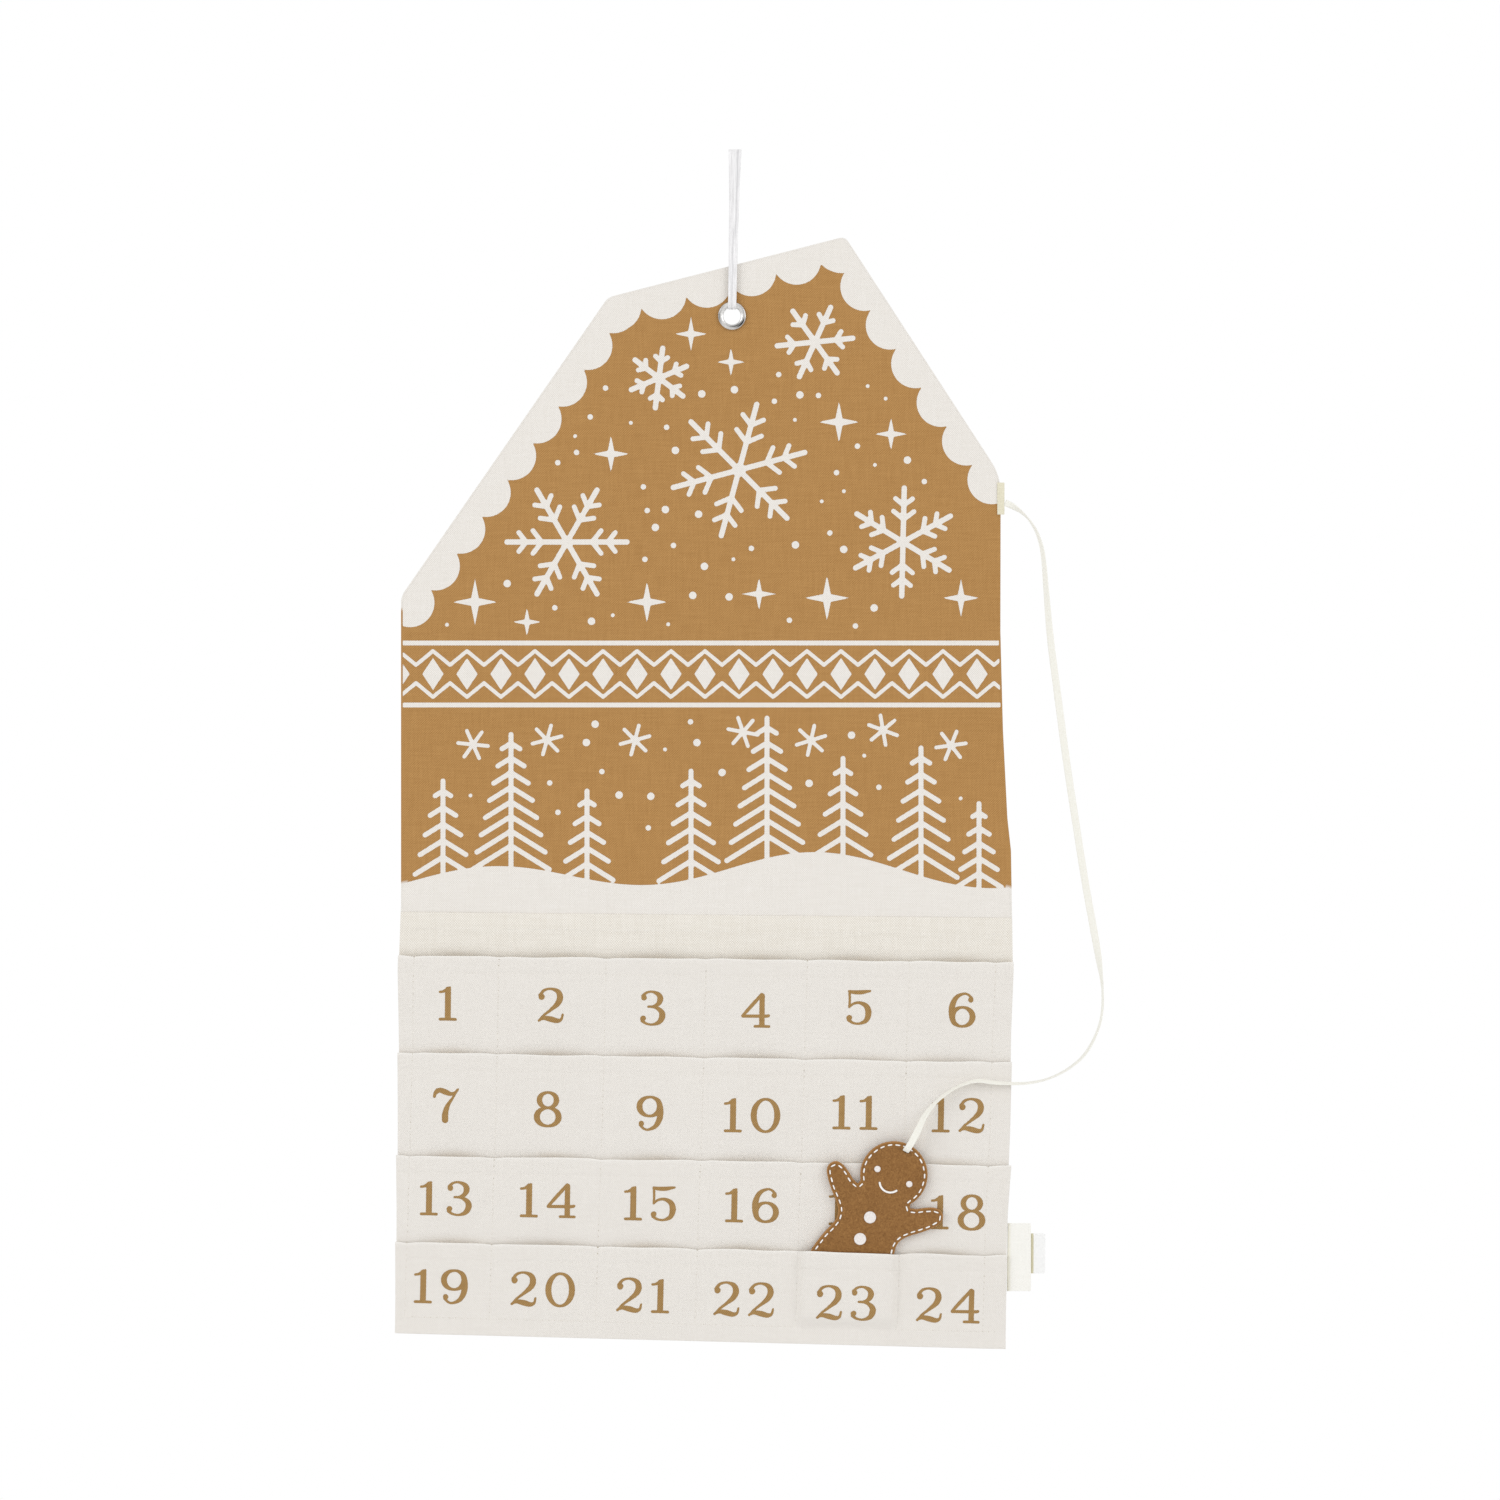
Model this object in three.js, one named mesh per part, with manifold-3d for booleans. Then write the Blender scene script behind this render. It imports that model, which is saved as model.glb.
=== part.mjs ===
// A canvas advent calendar: a gabled cloth panel that hangs from a ribbon, with four rows of
// six pockets, and a felt gingerbread marker on a narrow tape that stands in one of them.
//
// Lengths are in millimetres. X runs to the right, Z up, and the front faces -Y. The origin is
// the point where the hanging ribbon lies over its hook.

import * as THREE from 'three';
import { mergeVertices } from 'three/addons/utils/BufferGeometryUtils.js';
import Module from 'manifold-3d';

const wasm = await Module();
wasm.setup();

// The panel. Its height is counted from its bottom left corner up to its peak.
const panelWidth = 306;
const panelHeight = 548;
const leftReach = 169;
const cornerRadius = 5;
const leftShoulderShare = 0.672;
const rightShoulderShare = 0.784;
const roofCornerShares = [0.345, 0.945];
const peakShares = [0.731, 1];

// How far the hand-sewn side edges wander: share of the height, then share of the width.
const leftEdgeShares = [
  [0, -0.0033], [0.11, 0], [0.26, 0.0033], [0.33, 0.0023], [0.39, 0.0065], [1, 0.0065],
];
const rightEdgeShares = [
  [0, -0.0055], [0.11, -0.0033], [0.185, 0.0016], [0.275, 0.0033], [0.33, 0.0065],
  [0.44, 0.0033], [0.47, -0.0026], [0.55, -0.0098], [0.64, -0.014], [1, -0.013],
];

// The pocket rows, top one first: how deep each shows at the left edge, and how far each
// cloth edge falls towards the right, as a share of the width.
const topPocketDepth = 48.5;
const secondPocketDepth = 51.5;
const thirdPocketDepth = 43;
const bottomPocketDepth = 46;
const pocketFallShares = [0.0115, 0.0164, 0.0164, 0.023];
const bottomFallShare = 0.026;
const bandDepth = 21.5;
const bandFallShare = 0.0098;
const underlap = 10;

// The seven pocket seams, as shares of the width, and how they lean to the left going down.
const seamShares = [0.025, 0.1636, 0.338, 0.501, 0.6656, 0.832, 0.972];
const seamLeanShare = 0.016;

// Cloth and thread.
const clothThickness = 0.6;
const layerGap = 0.3;
const liningGap = 0.5;
const liningDrawIn = 0.2;
const liningCreaseShare = 0.64;
const threadWidth = 0.5;
const threadThickness = 0.25;
const threadEndShare = 0.01;
const hemDepth = 8.5;
const bandStitchDepth = 8;
const bottomStitchRise = 8.5;

// Rows of points up each cloth: 1 is the lining's crease, or the backing's top, and 2 the gable.
const liningRowShares = [0, 0.17, 0.3, 0.42, 0.5, 0.6, 0.68, 0.75, 0.86, 1, 2];
const frontRowShares = [0, 0.3, 0.45, 0.62, 1, 2];
const backingRowShares = [0, 0.2, 0.35, 0.5, 0.65, 0.8, 0.9, 1];

// How far each pocket mouth stands open, as a share of the widest one.
const mouthGape = 1.2;
const mouthGapeShares = [
  [0.6, 0.35, 0.8, 0.45, 0.7, 0.4],
  [0.5, 0.9, 0.4, 0.75, 0.3, 0.6],
  [0.8, 0.45, 0.65, 0.9, 0.3, 0.35],
  [0.55, 0.85, 0.5, 0.7, 0, 0.6],
];

// Where a pocket strip has stepped halfway, and all the way, over the foot of the row above,
// and the columns of points across one pocket.
const halfLapShare = 0.53;
const fullLapShare = 0.76;
const mouthColumnShares = [0, 0.25, 0.5, 0.75];

// The eyelet and its washer: how far it lies below the hook, and below the panel's peak.
const eyeletX = -1.5;
const eyeletDrop = 83;
const eyeletInset = 39.5;
const eyeletRadius = 7.15;
const eyeletHoleRadius = 4.35;
const eyeletWall = 0.4;
const eyeletRise = 1.25;
const washerThickness = 0.36;

// The eyelet's rolled flange, from the hole outwards: share of its breadth, share of its rise.
const flangeRollShares = [[0.02, 0.45], [0.1, 0.8], [0.3, 1], [0.62, 0.96], [0.9, 0.6], [1, 0.2]];

// The hanging ribbon: a flat loop over the hook and through the eyelet.
const ribbonWidth = 6;
const ribbonFoldedWidth = 4.5;
const ribbonThickness = 0.4;
const ribbonFoldRadius = 1.7;
const ribbonFoldSteps = 8;

// Points down a leg of the ribbon, as shares of its length, and the bend through the eyelet:
// share of the way from front to back, then share of the way from the rim to the hole's top.
const ribbonLegShares = [0.3, 0.65, 1];
const ribbonBendShares = [[0, 0.55], [0.08, 0.9], [0.23, 1], [0.6, 1], [0.88, 0.95], [1, 0.6]];

// The felt marker. It stands in a pocket, turned in its own plane and leaning forward a little.
const markerHeight = 88.2;
const markerHeadRadius = 16.7;
const markerTurnDegrees = 25.5;
const markerLeanShare = 0.04;
const markerStandOff = 1.75;
const markerFootClearance = 6.2;
const markerSideClearance = 0.4;
const markerRowIndex = 3;
const markerColumnIndex = 4;
const feltThickness = 1;
const stitchInset = 1.5;
const buttonRadius = 3;
const eyeRadius = 1.6;
const dotThickness = 0.4;
const smileRadius = 5.4;
const smileWidth = 1;
const slitWidth = 4.6;
const slitHeight = 1.2;
const seamMargin = 0.25;

// The side of the marker below its head, as shares of its height, from the neck to the crotch.
const markerSideShares = [
  [0.163, -0.134], [0.199, -0.122], [0.244, -0.093], [0.289, -0.072], [0.329, -0.072],
  [0.355, -0.1], [0.354, -0.136], [0.326, -0.179], [0.279, -0.229], [0.232, -0.272],
  [0.199, -0.312], [0.186, -0.357], [0.194, -0.405], [0.211, -0.455], [0.227, -0.52],
  [0.238, -0.59], [0.238, -0.65], [0.226, -0.71], [0.201, -0.767], [0.162, -0.804],
  [0.117, -0.8], [0.09, -0.757], [0.073, -0.686], [0.045, -0.624], [0, -0.595],
];
const neckAngleDegrees = -35.5;
const smileSpanDegrees = [-155, -25];

// The places of the trim from the head's centre: the buttons as shares of the marker's height,
// and the rest as shares of the head's radius.
const buttonShares = [[-0.0193, -0.2744], [-0.017, -0.4093]];
const eyeShares = [0.527, -0.045];
const smileCentreShares = [-0.012, -0.222];
const slitShare = 0.802;
const headSteps = 12;
const sideSteps = 46;

// The tape that ties the marker to the right-hand seam.
const tapeWidth = 3.8;
const tapeThickness = 0.6;
const tapeBevelShare = 0.4;
const tapeAnchorHeight = 16;
const tapeAnchorWidth = 2.6;
const tapeAnchorThickness = 0.5;
const tapeAnchorRise = 2;
const tapeAnchorOverhang = 0.9;
const tapeSteps = 60;
const tapeRoute = [
  [134.9, -0.6, -176.3], [138.5, -0.6, -178], [143, -0.7, -181], [147, -0.8, -185],
  [150.7, -1, -191], [153.2, -1.2, -198.5], [154.5, -1.4, -207.5], [155.5, -1.6, -220],
  [157.7, -2, -245], [161.5, -2.4, -275], [165.5, -2.8, -305], [170, -3.2, -335],
  [174.7, -3.5, -365], [178.7, -3.8, -387.5], [181.7, -4, -405], [183.5, -4.1, -420],
  [183, -4.2, -432.5], [180, -4.3, -442.5], [174.5, -4.3, -452], [166.5, -4.3, -459],
  [156.5, -4.3, -464], [146.5, -4.3, -466.2], [138, -4.3, -466.5], [129, -4.4, -466],
  [120.5, -4.7, -465.3], [112, -5.2, -468], [104.5, -5.8, -472.7], [95.5, -6.6, -480.2],
  [90.2, -7.5, -488.8], [86.4, -8, -496.6], [85.5, -7.7, -498.9], [85.1, -6.8, -499.9],
];

// The labels in the right-hand seam.
const labelTop = -537;
const labelHeight = 33.5;
const labelWidth = 12;
const labelThickness = 0.5;
const tabTop = -542;
const tabHeight = 19.5;
const tabWidth = 19;
const tabThickness = 0.3;
const labelHingeGap = 0.5;
const labelStart = 0.4;

// Counts and small allowances.
const cutOverrun = 2;
const roundSegments = 28;
const cornerSegments = 5;

// Worked-out places. The marker's stack is its two felts, and its trim lies in front of them.
const eyeletZ = -eyeletDrop;
const bottomZ = eyeletZ + eyeletInset - panelHeight;
const pocketDepths = [topPocketDepth, secondPocketDepth, thirdPocketDepth, bottomPocketDepth];
const lastRow = pocketDepths.length - 1;
const lastSeam = seamShares[seamShares.length - 1];
const pinchStep = clothThickness + layerGap;
const markerLean = Math.atan(markerLeanShare);
const markerTurn = THREE.MathUtils.degToRad(markerTurnDegrees);
const markerStack = 2 * feltThickness + layerGap;
const trimOffset = markerStack + layerGap;

function clamp(value, low, high) {
  return Math.min(Math.max(value, low), high);
}

function mix(a, b, share) {
  return a + (b - a) * share;
}

// Straight-line reading of a table of [position, value] pairs.
function readTable(table, position) {
  for (let i = 1; i < table.length; i += 1) {
    const [start, low] = table[i - 1];
    const [end, high] = table[i];
    if (position <= end) {
      return mix(low, high, clamp((position - start) / (end - start), 0, 1));
    }
  }
  return table[table.length - 1][1];
}

function heightShare(z) {
  return (z - bottomZ) / panelHeight;
}

function leftEdgeX(z) {
  return -leftReach + panelWidth * readTable(leftEdgeShares, heightShare(z));
}

function rightEdgeX(z) {
  return panelWidth - leftReach + panelWidth * readTable(rightEdgeShares, heightShare(z));
}

// A cloth edge that starts at a height on the left and falls towards the right.
function fallingLine(leftZ, fallShare) {
  return (share) => leftZ - fallShare * panelWidth * share;
}

const bottomLine = fallingLine(bottomZ, bottomFallShare);
const mouthLines = pocketDepths.map((_, row) => {
  const below = pocketDepths.slice(row).reduce((sum, depth) => sum + depth, 0);
  return fallingLine(bottomZ + below, pocketFallShares[row]);
});
const bandTop = mouthLines[0](0) + bandDepth;
const bandLine = fallingLine(bandTop, bandFallShare);
const leanStart = mouthLines[0](0);

// Where the cloth lies at a share of the width: between the two edges, leaning as the seams do.
function clothX(share, z) {
  const lean = seamLeanShare * Math.max(leanStart - z, 0);
  const inner = Math.min(share / seamShares[0], (1 - share) / (1 - lastSeam), 1);
  return mix(leftEdgeX(z), rightEdgeX(z), share) - lean * inner;
}

// A closed solid from a grid of points, each with a front and a back, i to the right, j up.
function gridSolid(columnCount, rowCount, pointAt) {
  const positions = [];
  const indices = [];
  for (let i = 0; i < columnCount; i += 1) {
    for (let j = 0; j < rowCount; j += 1) {
      const { x, z, front, back, backX = x, backZ = z } = pointAt(i, j);
      positions.push(x, front, z);
      positions.push(backX, back, backZ);
    }
  }
  const frontAt = (i, j) => 2 * (i * rowCount + j);
  const backAt = (i, j) => frontAt(i, j) + 1;
  const quad = (a, b, c, d) => indices.push(a, b, c, a, c, d);
  for (let i = 0; i < columnCount - 1; i += 1) {
    for (let j = 0; j < rowCount - 1; j += 1) {
      quad(frontAt(i, j), frontAt(i + 1, j), frontAt(i + 1, j + 1), frontAt(i, j + 1));
      quad(backAt(i, j), backAt(i, j + 1), backAt(i + 1, j + 1), backAt(i + 1, j));
    }
    const top = rowCount - 1;
    quad(frontAt(i, 0), backAt(i, 0), backAt(i + 1, 0), frontAt(i + 1, 0));
    quad(frontAt(i, top), frontAt(i + 1, top), backAt(i + 1, top), backAt(i, top));
  }
  const last = columnCount - 1;
  for (let j = 0; j < rowCount - 1; j += 1) {
    quad(frontAt(0, j), frontAt(0, j + 1), backAt(0, j + 1), backAt(0, j));
    quad(frontAt(last, j), backAt(last, j), backAt(last, j + 1), frontAt(last, j + 1));
  }
  const geometry = new THREE.BufferGeometry();
  geometry.setAttribute('position', new THREE.Float32BufferAttribute(positions, 3));
  geometry.setIndex(indices);
  geometry.computeVertexNormals();
  return geometry;
}

function toManifold(geometry) {
  const bare = geometry.clone();
  bare.deleteAttribute('normal');
  bare.deleteAttribute('uv');
  const merged = mergeVertices(bare);
  const mesh = new wasm.Mesh({
    numProp: 3,
    vertProperties: new Float32Array(merged.attributes.position.array),
    triVerts: new Uint32Array(merged.index.array),
  });
  mesh.merge();
  return new wasm.Manifold(mesh);
}

function toGeometry(solid) {
  const mesh = solid.getMesh();
  const geometry = new THREE.BufferGeometry();
  geometry.setAttribute('position', new THREE.Float32BufferAttribute(mesh.vertProperties, 3));
  geometry.setIndex(Array.from(mesh.triVerts));
  geometry.computeVertexNormals();
  return geometry;
}

// The hole that the eyelet's barrel goes through, right through both cloths.
function cutEyeletHole(geometry) {
  const radius = eyeletHoleRadius + eyeletWall + layerGap;
  const depth = 2 * (clothThickness + liningGap + cutOverrun) + clothThickness;
  const cutter = new THREE.CylinderGeometry(radius, radius, depth, roundSegments);
  cutter.translate(eyeletX, 0, eyeletZ);
  return toGeometry(toManifold(geometry).subtract(toManifold(cutter)));
}

const fabric = (colour) => ({ color: colour, roughness: 0.95, metalness: 0 });
const finishes = {
  printed: fabric(0xb88a4e),
  canvas: fabric(0xebe8e2),
  backing: fabric(0xe6e1d6),
  pocket: fabric(0xe9e5de),
  thread: fabric(0xd8cfba),
  felt: fabric(0x94683a),
  feltBack: fabric(0x8a6034),
  stitch: fabric(0xfaf8f4),
  dot: fabric(0xebe4e0),
  ribbon: { color: 0xf6f6f8, roughness: 0.45, metalness: 0 },
  tape: { color: 0xf2f0e9, roughness: 0.7, metalness: 0 },
  label: fabric(0xf3f0e6),
  tab: { color: 0xfbfbfb, roughness: 0.35, metalness: 0 },
  nickel: { color: 0xd6d4d0, roughness: 0.2, metalness: 1 },
};

function piece(name, geometry, finish) {
  const mesh = new THREE.Mesh(geometry, new THREE.MeshStandardMaterial(finish));
  mesh.name = name;
  return mesh;
}

// The panel's top edge from left to right, with its four corners rounded.
function topEdgePoints() {
  const left = leftEdgeX(0);
  const right = rightEdgeX(0);
  const corners = [
    [left, bottomZ + panelHeight * leftShoulderShare],
    [mix(left, right, roofCornerShares[0]), bottomZ + panelHeight * roofCornerShares[1]],
    [mix(left, right, peakShares[0]), bottomZ + panelHeight * peakShares[1]],
    [right, bottomZ + panelHeight * rightShoulderShare],
  ].map(([x, z]) => new THREE.Vector2(x, z));
  const path = [
    new THREE.Vector2(left, bottomZ),
    ...corners,
    new THREE.Vector2(right, bottomZ),
  ];
  const points = [];
  for (let i = 1; i < path.length - 1; i += 1) {
    const corner = path[i];
    const before = path[i - 1].clone().sub(corner).setLength(cornerRadius).add(corner);
    const after = path[i + 1].clone().sub(corner).setLength(cornerRadius).add(corner);
    const bend = new THREE.QuadraticBezierCurve(before, corner, after);
    points.push(...bend.getPoints(cornerSegments));
  }
  return points;
}

// A cloth that fills the panel from a lower line up to the gabled top edge.
function gabledCloth(lowerLine, rowShares, frontY) {
  const edge = topEdgePoints();
  const left = leftEdgeX(0);
  const right = rightEdgeX(0);
  return gridSolid(edge.length, rowShares.length, (i, j) => {
    const share = (edge[i].x - left) / (right - left);
    const low = lowerLine(share);
    const crease = bottomZ + panelHeight * liningCreaseShare;
    const rowShare = rowShares[j];
    const z = rowShare <= 1 ? mix(low, crease, rowShare) : mix(crease, edge[i].y, rowShare - 1);
    const front = frontY(z);
    return { x: mix(leftEdgeX(z), rightEdgeX(z), share), z, front, back: front + clothThickness };
  });
}

// The lining hangs free below its crease and is drawn in towards the front cloth above it.
function liningFront(z) {
  const crease = bottomZ + panelHeight * liningCreaseShare;
  const peak = bottomZ + panelHeight;
  return clothThickness + liningGap - liningDrawIn * clamp((z - crease) / (peak - crease), 0, 1);
}

function backCanvas() {
  const cloth = gabledCloth(bottomLine, liningRowShares, liningFront);
  return piece('back_canvas', cutEyeletHole(cloth), finishes.canvas);
}

function frontCanvas() {
  const cloth = gabledCloth(bandLine, frontRowShares, () => 0);
  return piece('front_canvas', cutEyeletHole(cloth), finishes.printed);
}

// The coarse cloth behind the pockets: it starts where the printed front cloth ends.
function pocketBacking() {
  const columnShares = [0, ...seamShares, 1];
  const geometry = gridSolid(columnShares.length, backingRowShares.length, (i, j) => {
    const share = columnShares[i];
    const z = mix(bottomLine(share), bandLine(share) - layerGap, backingRowShares[j]);
    return { x: mix(leftEdgeX(z), rightEdgeX(z), share), z, front: 0, back: clothThickness };
  });
  return piece('pocket_backing', geometry, finishes.backing);
}

// The lower edge of a pocket strip: the panel's own, or a little below the next mouth.
function stripFoot(row, share) {
  return row === lastRow ? bottomLine(share) : mouthLines[row + 1](share) - underlap;
}

// The pocket that a share of the width falls in, and how far across it that is.
function pocketAt(share) {
  const column = seamShares.findIndex((seam, index) => share >= seam && share < seamShares[index + 1]);
  if (column < 0) {
    return { column, across: 0 };
  }
  const across = (share - seamShares[column]) / (seamShares[column + 1] - seamShares[column]);
  return { column, across };
}

// The marker's outline: a round head, and the same side mirrored.
function markerOutline() {
  const neck = THREE.MathUtils.degToRad(neckAngleDegrees);
  const head = [];
  for (let step = 0; step <= headSteps; step += 1) {
    const angle = mix(Math.PI / 2, neck, step / headSteps);
    head.push([markerHeadRadius * Math.cos(angle), markerHeadRadius * Math.sin(angle)]);
  }
  const knots = markerSideShares.map(([across, up]) => (
    new THREE.Vector2(across * markerHeight, up * markerHeight)
  ));
  const side = new THREE.SplineCurve(knots).getPoints(sideSteps).map(({ x, y }) => [x, y]);
  const half = [...head, ...side];
  const mirrored = half.slice(1, -1).reverse().map(([x, y]) => [-x, y]);
  return [...half, ...mirrored].map(([x, y]) => new THREE.Vector2(x, y));
}

// Where the marker stands: its lowest foot above the bottom stitching, and the part of it that
// is inside the pocket midway between the two seams.
function placeMarker() {
  const left = seamShares[markerColumnIndex];
  const right = seamShares[markerColumnIndex + 1];
  const share = (left + right) / 2;
  const mouth = mouthLines[markerRowIndex](share);
  const turned = markerOutline().map(({ x, y }) => ({
    x: x * Math.cos(markerTurn) + y * Math.sin(markerTurn),
    z: (y * Math.cos(markerTurn) - x * Math.sin(markerTurn)) * Math.cos(markerLean),
  }));
  const foot = Math.min(...turned.map(({ z }) => z));
  const headZ = bottomLine(share) + bottomStitchRise + markerFootClearance - foot;
  const hidden = turned.filter(({ z }) => headZ + z < mouth).map(({ x }) => x);
  const [low, high] = [Math.min(...hidden), Math.max(...hidden)];
  const sides = [clothX(left, mouth), clothX(right, mouth)];
  const headX = (sides[0] + sides[1]) / 2 - (low + high) / 2;
  const span = [headX + low - markerSideClearance, headX + high + markerSideClearance];
  return { headX, headZ, mouth, span, sides, depth: mouth - bottomLine(share) };
}

const markerPlace = placeMarker();

// The rear face of the marker's lower felt: it leans forward going up.
function markerBackY(z) {
  return -markerStandOff - markerLeanShare * (z - markerPlace.mouth);
}

// Rows of points up a pocket strip: the marker's pocket swells out between the first two.
const swellStartShare = (bottomStitchRise + threadWidth / 2 + layerGap) / markerPlace.depth;
const swellEndShare = (bottomStitchRise + markerFootClearance - layerGap) / markerPlace.depth;
const stripRowShares = [0, swellStartShare, swellEndShare, halfLapShare, fullLapShare];

// Where the marker's pocket changes slope, across its mouth: flat beside the seams, raised
// over the whole span that the marker fills.
function markerPocketAcross() {
  const [left, right] = markerPlace.sides;
  const margin = threadWidth / 2 + seamMargin;
  const places = [left, left + margin, ...markerPlace.span, right - margin];
  return places.map((x) => (x - left) / (right - left));
}

// How far the marker pushes a point of its pocket out: 0 at the seams, 1 over the marker.
function markerPush(row, column, across, rise) {
  if (row !== markerRowIndex || column !== markerColumnIndex) {
    return 0;
  }
  const [, leftFoot, leftTop, rightTop, rightFoot] = markerPocketAcross();
  const fromLeft = (across - leftFoot) / (leftTop - leftFoot);
  const fromRight = (rightFoot - across) / (rightFoot - rightTop);
  const fromFoot = (rise - swellStartShare) / (swellEndShare - swellStartShare);
  return clamp(Math.min(fromLeft, fromRight, fromFoot), 0, 1);
}

// The rear face of a pocket strip: it starts on the backing, steps out over the row above's
// foot, stands open between the seams, and rides over the marker where that stands.
function stripBackY(row, share, z) {
  const low = stripFoot(row, share);
  const rise = (z - low) / (mouthLines[row](share) - low);
  const lap = clamp((rise - swellEndShare) / (fullLapShare - swellEndShare), 0, 1);
  const { column, across } = pocketAt(share);
  const gapeShare = column < 0 ? 0 : mouthGapeShares[row][column] * Math.sin(Math.PI * across) ** 2;
  const atRest = -layerGap - pinchStep * lap - mouthGape * gapeShare * rise * rise;
  const overMarker = markerBackY(z) - trimOffset - threadThickness - layerGap;
  return mix(atRest, overMarker, markerPush(row, column, across, rise));
}

// The columns of points across a strip. The marker's pocket has them where it changes slope.
function stripColumnShares(row) {
  const shares = [0, seamShares[0] / 2];
  for (let column = 0; column < seamShares.length - 1; column += 1) {
    const start = seamShares[column];
    const width = seamShares[column + 1] - start;
    const holdsMarker = row === markerRowIndex && column === markerColumnIndex;
    const acrossShares = holdsMarker ? markerPocketAcross() : mouthColumnShares;
    shares.push(...acrossShares.map((across) => start + width * across));
  }
  shares.push(lastSeam, (1 + lastSeam) / 2, 1);
  return shares;
}

// The heights of the points up a strip, with one at the stitched hem.
function stripHeights(row, share) {
  const low = stripFoot(row, share);
  const top = mouthLines[row](share);
  return [...stripRowShares.map((rise) => mix(low, top, rise)), top - hemDepth, top];
}

function pocketRow(row) {
  const columnShares = stripColumnShares(row);
  const rowCount = stripRowShares.length + 2;
  const geometry = gridSolid(columnShares.length, rowCount, (i, j) => {
    const share = columnShares[i];
    const z = stripHeights(row, share)[j];
    const back = stripBackY(row, share, z);
    return { x: clothX(share, z), z, front: back - clothThickness, back };
  });
  return piece(`pocket_row_${row + 1}`, geometry, finishes.pocket);
}

// A line of thread lying across the cloth, on a surface given by its front face.
function crossThread(name, columnShares, heightAt, surfaceY) {
  const geometry = gridSolid(columnShares.length, 2, (i, j) => {
    const share = columnShares[i];
    const z = heightAt(share) + (j - 0.5) * threadWidth;
    const back = surfaceY(share, heightAt(share)) - layerGap;
    return { x: clothX(share, z), z, front: back - threadThickness, back };
  });
  return piece(name, geometry, finishes.thread);
}

function trimmedEnds(columnShares) {
  return [threadEndShare, ...columnShares.slice(1, -1), 1 - threadEndShare];
}

function hemSeam(row) {
  const heightAt = (share) => mouthLines[row](share) - hemDepth;
  const surfaceY = (share, z) => stripBackY(row, share, z) - clothThickness;
  return crossThread(`hem_seam_${row + 1}`, trimmedEnds(stripColumnShares(row)), heightAt, surfaceY);
}

function bandSeam() {
  const heightAt = (share) => bandLine(share) - bandStitchDepth;
  return crossThread('backing_top_seam', trimmedEnds([0, ...seamShares, 1]), heightAt, () => 0);
}

function bottomSeam() {
  const heightAt = (share) => bottomLine(share) + bottomStitchRise;
  const surfaceY = () => -layerGap - clothThickness;
  const columnShares = trimmedEnds([0, ...seamShares, 1]);
  return crossThread('bottom_seam', columnShares, heightAt, surfaceY);
}

// A seam down all four rows. Its thread steps down past each mouth and over each hem thread.
function columnSeam(number) {
  const share = seamShares[number];
  const stepOver = threadThickness + layerGap;
  const points = [];
  for (let row = lastRow; row >= 0; row -= 1) {
    const heights = stripHeights(row, share);
    const mouth = mouthLines[row](share);
    const hem = mouth - hemDepth;
    const start = row === lastRow
      ? bottomLine(share) + bottomStitchRise + threadWidth + layerGap
      : mouthLines[row + 1](share) + layerGap + pinchStep;
    const surface = (z) => stripBackY(row, share, z) - pinchStep;
    const clear = threadWidth / 2 + layerGap;
    points.push([start, surface(start)]);
    heights.filter((z) => z > start && z < hem - clear - stepOver).forEach((z) => {
      points.push([z, surface(z)]);
    });
    points.push([hem - clear - stepOver, surface(hem)]);
    points.push([hem - clear, surface(hem) - stepOver]);
    points.push([hem + clear, surface(hem) - stepOver]);
    points.push([hem + clear + stepOver, surface(hem)]);
    points.push(row === 0 ? [mouth - layerGap, surface(mouth)] : [mouth + layerGap, surface(mouth)]);
  }
  const geometry = gridSolid(2, points.length, (i, j) => {
    const [z, back] = points[j];
    const x = clothX(share, z) + (i - 0.5) * threadWidth;
    return { x, z, front: back - threadThickness, back };
  });
  return piece(`column_seam_${number + 1}`, geometry, finishes.thread);
}

// A closed ring turned about the eyelet's axis. Profile points are [radius, y].
function eyeletRing(name, profile) {
  const points = profile.map(([radius, y]) => new THREE.Vector2(radius, y));
  points.push(points[0].clone());
  const mesh = piece(name, new THREE.LatheGeometry(points, roundSegments), finishes.nickel);
  mesh.position.set(eyeletX, 0, eyeletZ);
  return mesh;
}

function washerFrontY() {
  return liningFront(eyeletZ) + clothThickness + layerGap;
}

// A barrel through the cloths, rolled over in front into a rounded flange.
function eyelet() {
  const barrelRadius = eyeletHoleRadius + eyeletWall;
  const barrelEnd = washerFrontY() + washerThickness;
  const flangeBack = -layerGap;
  const rolled = flangeRollShares.map(([across, rise]) => [
    mix(eyeletHoleRadius, eyeletRadius, across),
    flangeBack - eyeletRise * rise,
  ]);
  return eyeletRing('eyelet', [
    [eyeletHoleRadius, barrelEnd],
    ...rolled,
    [eyeletRadius, flangeBack],
    [barrelRadius, flangeBack],
    [barrelRadius, barrelEnd],
  ]);
}

function eyeletWasher() {
  const inner = eyeletHoleRadius + eyeletWall + layerGap;
  const front = washerFrontY();
  return eyeletRing('eyelet_washer', [
    [inner, front + washerThickness],
    [inner, front],
    [eyeletRadius, front],
    [eyeletRadius, front + washerThickness],
  ]);
}

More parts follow.
